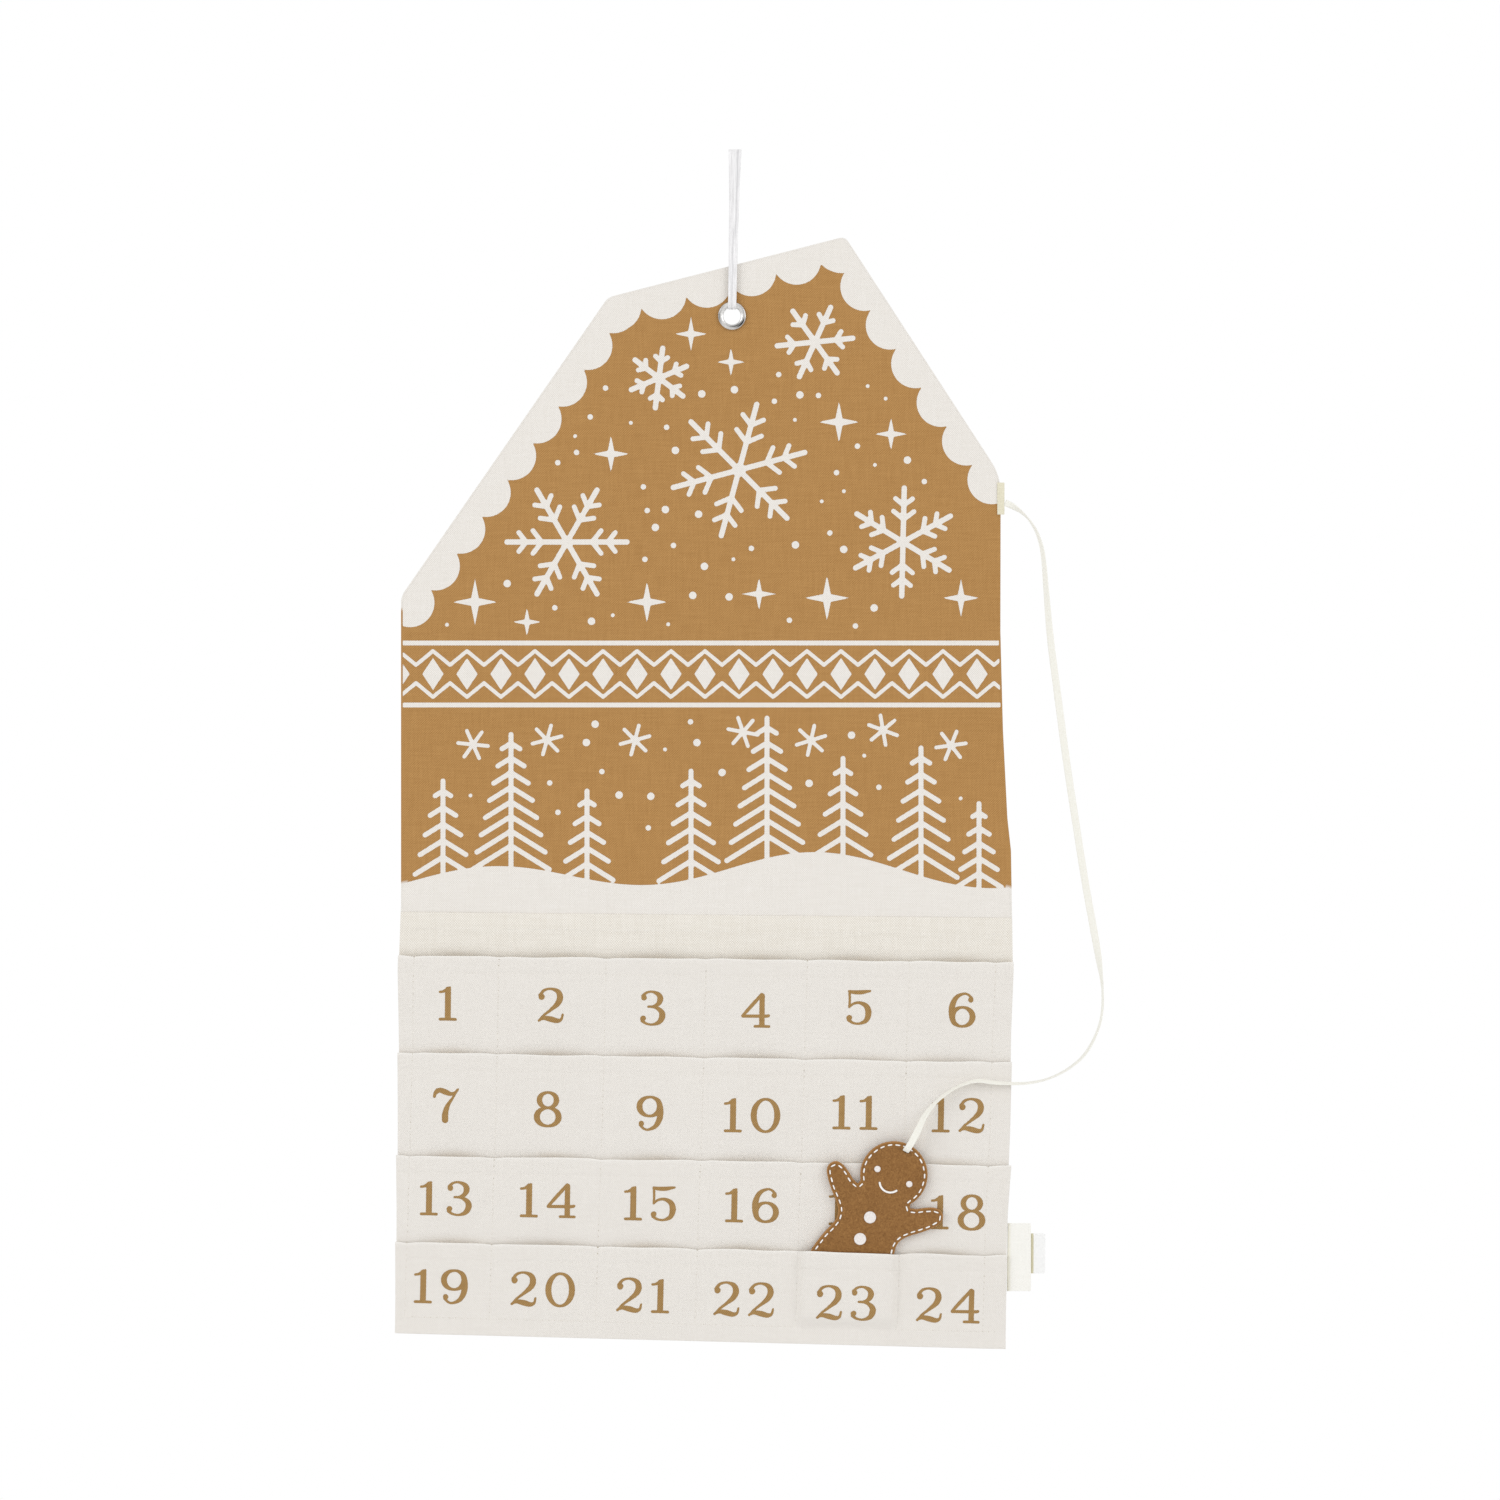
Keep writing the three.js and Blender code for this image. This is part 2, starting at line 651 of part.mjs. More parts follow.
// The ribbon's middle line from its fold over the hook, down in front, through the eyelet and
// up behind, as [y, z].
function ribbonLine() {
  const foldTop = ribbonThickness / 2;
  const frontY = -layerGap - eyeletRise - layerGap - ribbonThickness / 2;
  const backY = washerFrontY() + washerThickness + layerGap + ribbonThickness;
  const chord = Math.sqrt(eyeletHoleRadius ** 2 - (ribbonFoldedWidth / 2) ** 2);
  const holeZ = eyeletZ + chord - layerGap - ribbonThickness / 2;
  const rimZ = eyeletZ + eyeletRadius;
  const fold = [];
  for (let step = 0; step <= ribbonFoldSteps; step += 1) {
    const angle = Math.PI * (step / ribbonFoldSteps);
    const rise = foldTop - ribbonFoldRadius * (1 - Math.sin(angle));
    fold.push([ribbonFoldRadius * Math.cos(angle), rise]);
  }
  const leg = (y) => ribbonLegShares.map((share) => [y, mix(foldTop, rimZ, share)]);
  const bend = ribbonBendShares.map(([through, down]) => [
    mix(frontY, backY, through),
    mix(rimZ, holeZ, down),
  ]);
  const points = [...fold, ...leg(frontY), ...bend, ...leg(backY).reverse()];
  return points.map(([y, z]) => new THREE.Vector2(y, z));
}

// Points moved sideways off a closed line, to the right of its direction.
function offsetLoop(points, distance) {
  return points.map((point, index) => {
    const before = points[(index + points.length - 1) % points.length];
    const after = points[(index + 1) % points.length];
    const along = after.clone().sub(before).normalize();
    return new THREE.Vector2(point.x + along.y * distance, point.y - along.x * distance);
  });
}

function hangingRibbon() {
  const line = ribbonLine();
  const outer = offsetLoop(line, ribbonThickness / 2);
  const inner = offsetLoop(line, -ribbonThickness / 2);
  const shape = new THREE.Shape(outer);
  shape.holes.push(new THREE.Path(inner));
  const geometry = new THREE.ExtrudeGeometry(shape, { depth: ribbonWidth, bevelEnabled: false });
  geometry.translate(0, 0, -ribbonWidth / 2);
  const turn = new THREE.Matrix4().makeBasis(
    new THREE.Vector3(0, 1, 0),
    new THREE.Vector3(0, 0, 1),
    new THREE.Vector3(1, 0, 0),
  );
  geometry.applyMatrix4(turn);
  const position = geometry.attributes.position;
  for (let index = 0; index < position.count; index += 1) {
    const down = clamp(position.getZ(index) / (eyeletZ + eyeletRadius), 0, 1);
    const width = mix(1, ribbonFoldedWidth / ribbonWidth, down);
    position.setX(index, position.getX(index) * width + eyeletX * down);
  }
  geometry.computeVertexNormals();
  return piece('hanging_ribbon', geometry, finishes.ribbon);
}

// A flat plate cut to a shape, standing up in XZ with its thickness towards the front.
function plate(name, shape, thickness, frontOffset, finish) {
  const settings = { depth: thickness, bevelEnabled: false, curveSegments: roundSegments / 2 };
  const geometry = new THREE.ExtrudeGeometry(shape, settings);
  geometry.rotateX(Math.PI / 2);
  const mesh = piece(name, geometry, finish);
  mesh.position.y = -frontOffset;
  return mesh;
}

function circleShape(x, y, radius) {
  const shape = new THREE.Shape();
  shape.absarc(x, y, radius, 0, 2 * Math.PI);
  return shape;
}

function smileShape() {
  const [x, y] = smileCentreShares.map((share) => share * markerHeadRadius);
  const [start, end] = smileSpanDegrees.map(THREE.MathUtils.degToRad);
  const shape = new THREE.Shape();
  shape.absarc(x, y, smileRadius + smileWidth / 2, start, end, false);
  shape.absarc(x, y, smileRadius - smileWidth / 2, end, start, true);
  return shape;
}

// The front layer has a slit near the top of the head, where the tape goes in.
function frontFeltShape() {
  const shape = new THREE.Shape(markerOutline());
  const slitY = slitShare * markerHeadRadius;
  const slit = new THREE.Path([
    new THREE.Vector2(-slitWidth / 2, slitY - slitHeight / 2),
    new THREE.Vector2(slitWidth / 2, slitY - slitHeight / 2),
    new THREE.Vector2(slitWidth / 2, slitY + slitHeight / 2),
    new THREE.Vector2(-slitWidth / 2, slitY + slitHeight / 2),
  ]);
  shape.holes.push(slit);
  return shape;
}

// A closed band between two loops of as many points, clockwise as seen from the front.
function bandSolid(outer, inner, thickness) {
  const positions = [];
  const indices = [];
  outer.forEach((point, index) => {
    const within = inner[index];
    positions.push(point.x, -thickness, point.y, within.x, -thickness, within.y);
    positions.push(point.x, 0, point.y, within.x, 0, within.y);
  });
  const quad = (a, b, c, d) => indices.push(a, b, c, a, c, d);
  outer.forEach((_, index) => {
    const here = 4 * index;
    const next = 4 * ((index + 1) % outer.length);
    quad(here + 1, next + 1, next, here);
    quad(here + 2, next + 2, next + 3, here + 3);
    quad(here, next, next + 2, here + 2);
    quad(here + 3, next + 3, next + 1, here + 1);
  });
  const geometry = new THREE.BufferGeometry();
  geometry.setAttribute('position', new THREE.Float32BufferAttribute(positions, 3));
  geometry.setIndex(indices);
  geometry.computeVertexNormals();
  return geometry;
}

// The edge stitching: a line of thread that follows the outline a little way in.
function markerStitching(frontOffset) {
  const outline = markerOutline();
  const outer = offsetLoop(outline, stitchInset - threadWidth / 2);
  const inner = offsetLoop(outline, stitchInset + threadWidth / 2);
  const mesh = piece('marker_stitching', bandSolid(outer, inner, threadThickness), finishes.stitch);
  mesh.position.y = -frontOffset;
  return mesh;
}

function marker() {
  const leaning = new THREE.Group();
  const { headX, headZ } = markerPlace;
  leaning.position.set(headX, markerBackY(headZ), headZ);
  leaning.rotation.x = markerLean;
  const turned = new THREE.Group();
  turned.rotation.y = markerTurn;
  leaning.add(turned);
  const frontOffset = feltThickness + layerGap;
  const [eyeX, eyeY] = eyeShares.map((share) => share * markerHeadRadius);
  turned.add(
    plate('marker_back_felt', new THREE.Shape(markerOutline()), feltThickness, 0, finishes.feltBack),
    plate('marker_front_felt', frontFeltShape(), feltThickness, frontOffset, finishes.felt),
    markerStitching(trimOffset),
    plate('marker_smile', smileShape(), threadThickness, trimOffset, finishes.stitch),
    plate('marker_eye_left', circleShape(-eyeX, eyeY, eyeRadius), dotThickness, trimOffset, finishes.dot),
    plate('marker_eye_right', circleShape(eyeX, eyeY, eyeRadius), dotThickness, trimOffset, finishes.dot),
  );
  buttonShares.forEach(([across, up], index) => {
    const shape = circleShape(across * markerHeight, up * markerHeight, buttonRadius);
    const name = `marker_button_${index + 1}`;
    turned.add(plate(name, shape, dotThickness, trimOffset, finishes.dot));
  });
  return leaning;
}

// The tape's section is a flat octagon: thin from front to back, wide across its route.
function tape() {
  const thin = tapeThickness / 2;
  const wide = tapeWidth / 2;
  const section = new THREE.Shape([
    new THREE.Vector2(thin, -wide * (1 - tapeBevelShare)),
    new THREE.Vector2(thin, wide * (1 - tapeBevelShare)),
    new THREE.Vector2(thin * tapeBevelShare, wide),
    new THREE.Vector2(-thin * tapeBevelShare, wide),
    new THREE.Vector2(-thin, wide * (1 - tapeBevelShare)),
    new THREE.Vector2(-thin, -wide * (1 - tapeBevelShare)),
    new THREE.Vector2(-thin * tapeBevelShare, -wide),
    new THREE.Vector2(thin * tapeBevelShare, -wide),
  ]);
  const route = new THREE.CatmullRomCurve3(tapeRoute.map((point) => new THREE.Vector3(...point)));
  const settings = { steps: tapeSteps, bevelEnabled: false, extrudePath: route };
  return piece('tether_tape', new THREE.ExtrudeGeometry(section, settings), finishes.tape);
}

// The tape's sewn end: a short folded strip lying on the front of the right-hand edge.
function tapeAnchor() {
  const [, , startZ] = tapeRoute[0];
  const geometry = new THREE.BoxGeometry(tapeAnchorWidth, tapeAnchorThickness, tapeAnchorHeight);
  const mesh = piece('tether_anchor', geometry, finishes.tape);
  const centreZ = startZ + tapeAnchorRise;
  const centreX = rightEdgeX(centreZ) + tapeAnchorOverhang - tapeAnchorWidth / 2;
  mesh.position.set(centreX, -layerGap - tapeAnchorThickness / 2, centreZ);
  return mesh;
}

// A flat label sewn into the right-hand seam.
function seamLabel(name, top, height, width, thickness, backY, finish) {
  const geometry = new THREE.BoxGeometry(width, thickness, height);
  const mesh = piece(name, geometry, finish);
  const startX = rightEdgeX(labelTop - labelHeight / 2) + labelHingeGap + labelStart;
  mesh.position.set(startX + width / 2, backY - thickness / 2, top - height / 2);
  return mesh;
}

const calendar = new THREE.Group();
calendar.add(hangingRibbon());
calendar.add(backCanvas(), frontCanvas(), pocketBacking());
pocketDepths.forEach((_, row) => calendar.add(pocketRow(row), hemSeam(row)));
seamShares.forEach((_, number) => calendar.add(columnSeam(number)));
calendar.add(bandSeam(), bottomSeam());
calendar.add(eyelet(), eyeletWasher());
calendar.add(marker());
calendar.add(tape(), tapeAnchor());

const labelBackY = clothThickness;
const tabBackY = labelBackY + layerGap + tabThickness;
calendar.add(
  seamLabel('side_label', labelTop, labelHeight, labelWidth, labelThickness, labelBackY, finishes.label),
  seamLabel('care_tab', tabTop, tabHeight, tabWidth, tabThickness, tabBackY, finishes.tab),
);

export default calendar;
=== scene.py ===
# %% [markdown]
# # A canvas advent calendar
# A gabled cloth panel hangs from a satin ribbon. Four rows of six pockets carry the numbers 1
# to 24, and a felt gingerbread figure on a woven tape stands in one pocket to mark the day.
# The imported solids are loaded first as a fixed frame, and every piece made here sits on them.

# %% Load the frame
import math

import bmesh
import bpy
import numpy as np
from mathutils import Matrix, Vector
from mathutils.geometry import tessellate_polygon


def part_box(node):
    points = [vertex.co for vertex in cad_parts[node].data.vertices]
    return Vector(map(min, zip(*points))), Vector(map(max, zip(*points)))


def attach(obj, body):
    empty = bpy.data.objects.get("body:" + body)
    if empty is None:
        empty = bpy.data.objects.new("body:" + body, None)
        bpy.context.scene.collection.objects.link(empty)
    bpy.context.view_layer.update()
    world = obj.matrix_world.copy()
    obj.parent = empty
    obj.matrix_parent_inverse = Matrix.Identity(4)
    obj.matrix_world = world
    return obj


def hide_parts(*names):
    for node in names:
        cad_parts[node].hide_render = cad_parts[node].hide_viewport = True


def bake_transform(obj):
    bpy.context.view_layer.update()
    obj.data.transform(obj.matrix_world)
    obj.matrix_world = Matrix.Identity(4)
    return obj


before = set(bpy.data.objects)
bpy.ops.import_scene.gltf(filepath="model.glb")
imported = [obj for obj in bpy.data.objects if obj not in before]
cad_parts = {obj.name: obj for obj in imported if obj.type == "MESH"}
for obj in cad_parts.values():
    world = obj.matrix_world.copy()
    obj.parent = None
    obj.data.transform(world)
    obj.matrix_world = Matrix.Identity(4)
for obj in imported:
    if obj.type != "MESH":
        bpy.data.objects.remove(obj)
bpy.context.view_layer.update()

# %% [markdown]
# ## Camera, backdrop and light
# The photograph looks straight at the panel, so the camera stands level in front of it, far
# enough back for little perspective. The light is that of a white studio: a plain even world
# and two wide soft lamps, one on each side, so that folds show but nothing casts hard shadows.

# %% Camera
FRAME_CENTRE = (0.0075, -0.3)
CAMERA_DISTANCE = 2.6
FRAME_WIDTH = 0.75
SENSOR_WIDTH = 36.0

camera_data = bpy.data.cameras.new("camera")
camera_data.sensor_width = SENSOR_WIDTH
camera_data.lens = SENSOR_WIDTH * CAMERA_DISTANCE / FRAME_WIDTH
camera_data.clip_end = 50
camera = bpy.data.objects.new("camera", camera_data)
camera.location = (FRAME_CENTRE[0], -CAMERA_DISTANCE, FRAME_CENTRE[1])
camera.rotation_euler = (math.pi / 2, 0, 0)
bpy.context.scene.collection.objects.link(camera)
bpy.context.scene.camera = camera
print("camera lens", camera_data.lens)

# %% Node helper


class Nodes:
    """A node tree, with short calls for the nodes that the backdrop and the finishes use."""

    def __init__(self, tree):
        self.tree = tree

    def node(self, kind, inputs=(), **options):
        """A new node: its options are set, and its inputs, by number or name, are linked to an
        output or set to a value."""
        made = self.tree.nodes.new(kind)
        for option, value in options.items():
            setattr(made, option, value)
        for key, value in dict(inputs).items():
            if isinstance(value, bpy.types.NodeSocket):
                self.tree.links.new(value, made.inputs[key])
            else:
                made.inputs[key].default_value = value
        return made

    def math(self, operation, first, second=0.0):
        return self.node("ShaderNodeMath", {0: first, 1: second}, operation=operation).outputs[0]

    def mix(self, share, first, second):
        return self.node("ShaderNodeMix", {0: share, 6: first, 7: second}, data_type="RGBA").outputs[2]

    def mix_shaders(self, share, first, second):
        return self.node("ShaderNodeMixShader", {0: share, 1: first, 2: second}).outputs[0]


# %% World and lamps
WORLD_STRENGTH = 0.8
LAMP_POWER = 17.0
LAMP_SIZE = 1.6
LAMP_OUT, LAMP_Y, LAMP_RISE = 2.2, -1.7, 0.9

scene = bpy.context.scene
scene.view_settings.view_transform = "Standard"
scene.world = bpy.data.worlds.new("studio")
scene.world.use_nodes = True
studio = Nodes(scene.world.node_tree)
studio.tree.nodes.clear()
rays = studio.node("ShaderNodeLightPath").outputs
seen = studio.math("MAXIMUM", rays["Is Camera Ray"], rays["Is Glossy Ray"])
seen = studio.math("MAXIMUM", seen, rays["Is Transmission Ray"])
backgrounds = [studio.node("ShaderNodeBackground", {"Color": (1, 1, 1, 1), "Strength": strength}).outputs[0]
               for strength in (WORLD_STRENGTH, 1.0)]
studio.node("ShaderNodeOutputWorld", {"Surface": studio.mix_shaders(seen, *backgrounds)})

for side in (-1, 1):
    lamp_data = bpy.data.lights.new("soft_lamp", "AREA")
    lamp_data.shape = "SQUARE"
    lamp_data.size = LAMP_SIZE
    lamp_data.energy = LAMP_POWER
    lamp = bpy.data.objects.new("soft_lamp", lamp_data)
    lamp.location = (FRAME_CENTRE[0] + side * LAMP_OUT, LAMP_Y, FRAME_CENTRE[1] + LAMP_RISE)
    x, y, z = np.array([FRAME_CENTRE[0], 0, FRAME_CENTRE[1]]) - np.array(lamp.location)
    lamp.rotation_euler = (math.acos(-z / np.linalg.norm((x, y, z))), 0, math.atan2(y, x) - math.pi / 2)
    scene.collection.objects.link(lamp)
print("world strength", WORLD_STRENGTH, "lamps", LAMP_POWER)

# %% Floor
FLOOR_Z = -1.05
FLOOR_HALF = 2.0
FLOOR_PALE = (0.93, 0.93, 0.93, 1)
FLOOR_GLOW = 0.85

floor_mesh = bpy.data.meshes.new("floor")
floor_corners = [(x * FLOOR_HALF, y * FLOOR_HALF, FLOOR_Z) for x, y in ((-1, -1), (1, -1), (1, 1), (-1, 1))]
floor_mesh.from_pydata(floor_corners, [], [(0, 1, 2, 3)])
floor = bpy.data.objects.new("floor", floor_mesh)
scene.collection.objects.link(floor)
floor_material = bpy.data.materials.new("pale_floor")
floor_material.use_nodes = True
paint = Nodes(floor_material.node_tree)
matt = paint.tree.nodes["Principled BSDF"]
matt.inputs["Base Color"].default_value = FLOOR_PALE
matt.inputs["Roughness"].default_value = 0.9
glow = paint.node("ShaderNodeEmission", {"Strength": 1.0})
seen = paint.math("MULTIPLY", paint.node("ShaderNodeLightPath").outputs["Is Camera Ray"], FLOOR_GLOW)
floor_blend = paint.mix_shaders(seen, matt.outputs[0], glow.outputs[0])
paint.tree.links.new(floor_blend, paint.tree.nodes["Material Output"].inputs["Surface"])
floor_mesh.materials.append(floor_material)
print("floor at", FLOOR_Z)

# %% [markdown]
# ## Helpers for surfaces
# Every piece is a surface worked out as whole arrays of points, in millimetres, and put into a
# mesh in metres. A cloth is a closed shell: a front and a back grid that share their border,
# with the thickness falling to nothing there along a quarter circle, as a folded edge does.

# %% Mesh helpers
MM = 0.001


def make_mesh(name, points, faces, closed=True):
    """A mesh from points in millimetres. A closed surface gets its faces turned outwards."""
    mesh = bpy.data.meshes.new(name)
    mesh.from_pydata((np.asarray(points) * MM).tolist(), [], [list(f) for f in faces])
    if closed:
        shell = bmesh.new()
        shell.from_mesh(mesh)
        bmesh.ops.recalc_face_normals(shell, faces=shell.faces)
        shell.to_mesh(mesh)
        shell.free()
    return mesh


def add_piece(name, points, faces, body, material, stands_for=None, closed=True):
    """A new object that rides on a body, stands for a node and takes its finish in its one slot.
    Blender may add a dot and a number."""
    mesh = make_mesh(name, points, faces, closed)
    mesh.polygons.foreach_set("use_smooth", np.full(len(mesh.polygons), True))
    mesh.validate()
    mesh.update()
    mesh.materials.append(material)
    piece = bpy.data.objects.new(name, mesh)
    scene.collection.objects.link(piece)
    if body:
        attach(piece, body)
    if stands_for:
        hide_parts(stands_for)
    print(name, len(mesh.vertices), "points", len(mesh.polygons), "faces")
    return piece


def points_of(piece):
    """A piece's points, in millimetres."""
    points = np.empty(3 * len(piece.data.vertices), np.float32)
    piece.data.vertices.foreach_get("co", points)
    return points.reshape(-1, 3) / MM


def mark_points(piece, name, values):
    """Gives each point of a piece a number that its finish reads."""
    values = np.asarray(values, np.float32)
    piece.data.attributes.new(name, "FLOAT", "POINT").data.foreach_set("value", values)


def unit(vectors):
    return vectors / np.linalg.norm(vectors, axis=-1, keepdims=True)


def lengths_along(path):
    """The length of a line of points from its start to each of them."""
    return np.concatenate([[0], np.cumsum(np.linalg.norm(np.diff(path, axis=0), axis=1))])


def rows_at(places, steps, rows):
    """Rows of numbers that are known at some steps along a line, read off at other places."""
    return np.stack([np.interp(places, steps, column) for column in rows.T], -1)


def bell(away, reach):
    """A bell curve: e to the power of minus the square of the distance over its reach."""
    return np.exp(-((away / reach) ** 2))


def grid_quads(index):
    """Quads of a grid of point numbers, facing the front where columns run right and rows up."""
    return np.stack([index[:-1, :-1], index[:-1, 1:], index[1:, 1:], index[1:, :-1]], -1).reshape(-1, 4)


def ring_index(rings, count, start=0):
    """Point numbers of rings of points, with the first column repeated at the end."""
    index = start + np.arange(rings * count).reshape(rings, count)
    return np.concatenate([index, index[:, :1]], axis=1)


def smooth_step(value):
    """0 below 0, 1 above 1, and three times the square less twice the cube between."""
    value = np.clip(value, 0, 1)
    return value * value * (3 - 2 * value)


def ripple(x, z, wavelength, seed):
    """A soft unevenness: the sum of six sine waves that run in different directions."""
    rng = np.random.default_rng(seed)
    angles = rng.uniform(0, 2 * np.pi, 6)
    phases = rng.uniform(0, 2 * np.pi, 6)
    stretches = rng.uniform(0.7, 1.5, 6)
    total = 0
    for angle, phase, stretch in zip(angles, phases, stretches):
        along = x * np.cos(angle) + z * np.sin(angle)
        total = total + np.sin(2 * np.pi * along / (wavelength * stretch) + phase)
    return total / 4


def with_edges(low, high, count, radius):
    """Even steps from low to high, with a few close ones at both ends for a rounded edge."""
    near = np.array([0, 0.06, 0.22, 0.5, 0.8]) * radius
    middle = np.linspace(low + 1.1 * radius, high - 1.1 * radius, count)
    return np.concatenate([low + near, middle, (high - near)[::-1]])


def nearest_side(x, z, left, right, low, high):
    """The distance to the nearest of four sides."""
    return np.minimum(np.minimum(x - left, right - x), np.minimum(z - low, high - z))


def cloth_shell(x, front, z, edge_distance, thickness, roundness):
    """Points and quads of a closed cloth: front and back are half the thickness off the middle,
    times the height of a circle of that roundness at the distance from the edge."""
    near = 1 - np.clip(edge_distance / roundness, 0, 1)
    half = thickness / 2 * np.sqrt(1 - near * near)
    middle = front + thickness / 2
    rows, columns = x.shape
    face = np.stack([x, middle - half, z], -1).reshape(-1, 3)
    rear = np.stack([x, middle + half, z], -1)[1:-1, 1:-1].reshape(-1, 3)
    face_index = np.arange(rows * columns).reshape(rows, columns)
    rear_index = face_index.copy()
    rear_index[1:-1, 1:-1] = rows * columns + np.arange(rear.shape[0]).reshape(rows - 2, columns - 2)
    quads = np.concatenate([grid_quads(face_index), grid_quads(rear_index)[:, ::-1]])
    return np.concatenate([face, rear]), quads


# %% [markdown]
# ## Helpers for finishes
# The canvas shows a plain weave: rows of light dots where a thread comes to the front, each row
# shifted by half a dot. The product of two cosines gives just that pattern, and it drives both
# colour and bump. Noise drawn out along the threads gives slubs, and a broad one gives shading.

# %% Material helpers


def linear(red, green, blue):
    """A colour as a picture shows it (0 to 255), as the linear values that a shader takes."""
    shown = np.array([red, green, blue]) / 255
    low = shown / 12.92
    high = ((shown + 0.055) / 1.055) ** 2.4
    return (*np.where(shown <= 0.04045, low, high), 1.0)


class Recipe(Nodes):
    """A material's nodes round its main shader, with short calls for patterns on the piece."""

    def __init__(self, name, roughness=0.9, specular=0.25, sheen=0.0, metallic=0.0):
        self.material = bpy.data.materials.new(name)
        self.material.use_nodes = True
        super().__init__(self.material.node_tree)
        self.shader = self.tree.nodes["Principled BSDF"]
        self.shader.inputs["Roughness"].default_value = roughness
        self.shader.inputs["Specular IOR Level"].default_value = specular
        self.shader.inputs["Sheen Weight"].default_value = sheen
        self.shader.inputs["Metallic"].default_value = metallic
        self.coordinates = self.node("ShaderNodeTexCoord").outputs["Object"]

    def mark(self, name):
        """The number that mark_points gave to each point under that name."""
        return self.node("ShaderNodeAttribute", attribute_name=name).outputs["Fac"]

    def noise(self, scale, detail=2.0, stretch=(1, 1, 1)):
        place = self.node("ShaderNodeMapping", {"Vector": self.coordinates, "Scale": stretch}).outputs[0]
        inputs = {"Vector": place, "Scale": scale, "Detail": detail}
        return self.node("ShaderNodeTexNoise", inputs).outputs["Fac"]

    def spread(self, value, low, high, out_low=0.0, out_high=1.0):
        inputs = dict(enumerate((value, low, high, out_low, out_high)))
        return self.node("ShaderNodeMapRange", inputs).outputs[0]

    def mottled(self, value, low, high, dark, light):
        """Two colours blended as a value goes from low to high."""
        return self.mix(self.spread(value, low, high), dark, light)

    def bump(self, height, distance, strength=1.0):
        made = self.node("ShaderNodeBump", {"Height": height, "Distance": distance, "Strength": strength})
        self.tree.links.new(made.outputs[0], self.shader.inputs["Normal"])

    def colour(self, value):
        self.tree.links.new(value, self.shader.inputs["Base Color"])


THREAD_BEND = 0.0009


def weave(recipe, pitch_x, pitch_z, slant=0.0):
    """The cosine across the cloth times the cosine up it, at half of each pitch: 1 where a
    thread lies in front and -1 in the gaps. A little noise bends the threads."""
    place = recipe.node("ShaderNodeSeparateXYZ", {0: recipe.coordinates}).outputs
    x, z = [
        recipe.math("ADD", place[axis], recipe.math(
            "MULTIPLY", recipe.math("SUBTRACT", recipe.noise(scale), 0.5), THREAD_BEND))
        for axis, scale in (("X", 60), ("Z", 71))
    ]
    if slant:
        x = recipe.math("ADD", x, recipe.math("MULTIPLY", z, slant))
    across = recipe.math("COSINE", recipe.math("MULTIPLY", x, 2 * math.pi / pitch_x))
    up = recipe.math("COSINE", recipe.math("MULTIPLY", z, math.pi / pitch_z))
    return recipe.math("MULTIPLY", across, up)


SLUB_SCALE = 900
SLUB_DRAW = 0.08


def woven(name, thread, gap, pitch_x, pitch_z, slant=0.0, relief=0.00016, blotch=0.05, bare_and_painted_light=None,
          slubs=0.3, shade_colour=None):
    """A woven cloth: the thread's colour on top, the gap's between, slubs and broad shading. It
    can have a second pair of colours where its points are marked: bare canvas on the print, and
    painted light elsewhere. It has a darker one, painted shade, where they are marked shade."""
    recipe = Recipe(name, roughness=0.92, specular=0.15, sheen=0.05)
    over = weave(recipe, pitch_x, pitch_z, slant)
    slub = recipe.math("ADD", recipe.noise(SLUB_SCALE, 1, (SLUB_DRAW, 1, 1)),
                       recipe.noise(SLUB_SCALE, 1, (1, 1, SLUB_DRAW)))
    uneven = recipe.math("MULTIPLY", recipe.math("SUBTRACT", slub, 1.0), slubs)
    raised = recipe.math("ADD", recipe.math("MULTIPLY", over, 0.5), recipe.math("ADD", uneven, 0.5))
    share = recipe.spread(raised, -0.1, 1.1)
    base = recipe.mix(share, gap, thread)
    base = recipe.mix(recipe.spread(recipe.noise(14, 3), 0.3, 0.7, 0, blotch), base, gap)
    if bare_and_painted_light:
        base = recipe.mix(recipe.mark("bare_and_painted_light"), base, recipe.mix(share, bare_and_painted_light[1], bare_and_painted_light[0]))
    if shade_colour:
        patches = recipe.spread(recipe.noise(45, 2), 0.35, 0.65, 0.5, 1.0)
        base = recipe.mix(recipe.math("MULTIPLY", recipe.mark("shade"), patches), base, shade_colour)
    recipe.colour(base)
    recipe.bump(raised, relief, 0.6)
    return recipe.material


# %% The five cloths
CANVAS_COLOURS = linear(243, 240, 236), linear(218, 212, 203)
# A painted highlight: lighter colours for the top edge of each pocket's mouth.
PAINTED_LIP_HIGHLIGHT_COLOURS = linear(249, 247, 243), linear(238, 235, 229)

canvas = woven("canvas", *CANVAS_COLOURS, 0.00105, 0.00055)
coarse_canvas = woven("coarse_canvas", linear(249, 246, 240), linear(212, 204, 190), 0.0012, 0.00065,
                      relief=0.00022, shade_colour=linear(198, 184, 164))
# The pocket cloth takes the painted lip highlight and the painted shade above each mouth.
pocket_canvas = woven("pocket_canvas", linear(245, 242, 237), linear(219, 213, 205), 0.00115, 0.00038,
                      slant=0.25, relief=0.00024, bare_and_painted_light=PAINTED_LIP_HIGHLIGHT_COLOURS, slubs=0.2,
                      shade_colour=linear(206, 192, 172))
printed_canvas = woven("printed_canvas", linear(203, 158, 100), linear(146, 102, 52), 0.0012, 0.00046,
                       slant=0.2, relief=0.0002, bare_and_painted_light=CANVAS_COLOURS)
pocket_ink = woven("pocket_ink", linear(191, 156, 103), linear(126, 93, 51), 0.00105, 0.00058, slant=0.15)
print("cloths", [cloth.name for cloth in (canvas, coarse_canvas, pocket_canvas, printed_canvas, pocket_ink)])

# %% [markdown]
# ## The panel's measures
# These are the same named shapes that the solids were made from: two side edges that wander a
# little, cloth edges that fall to the right, and seams that lean. All of them take arrays.

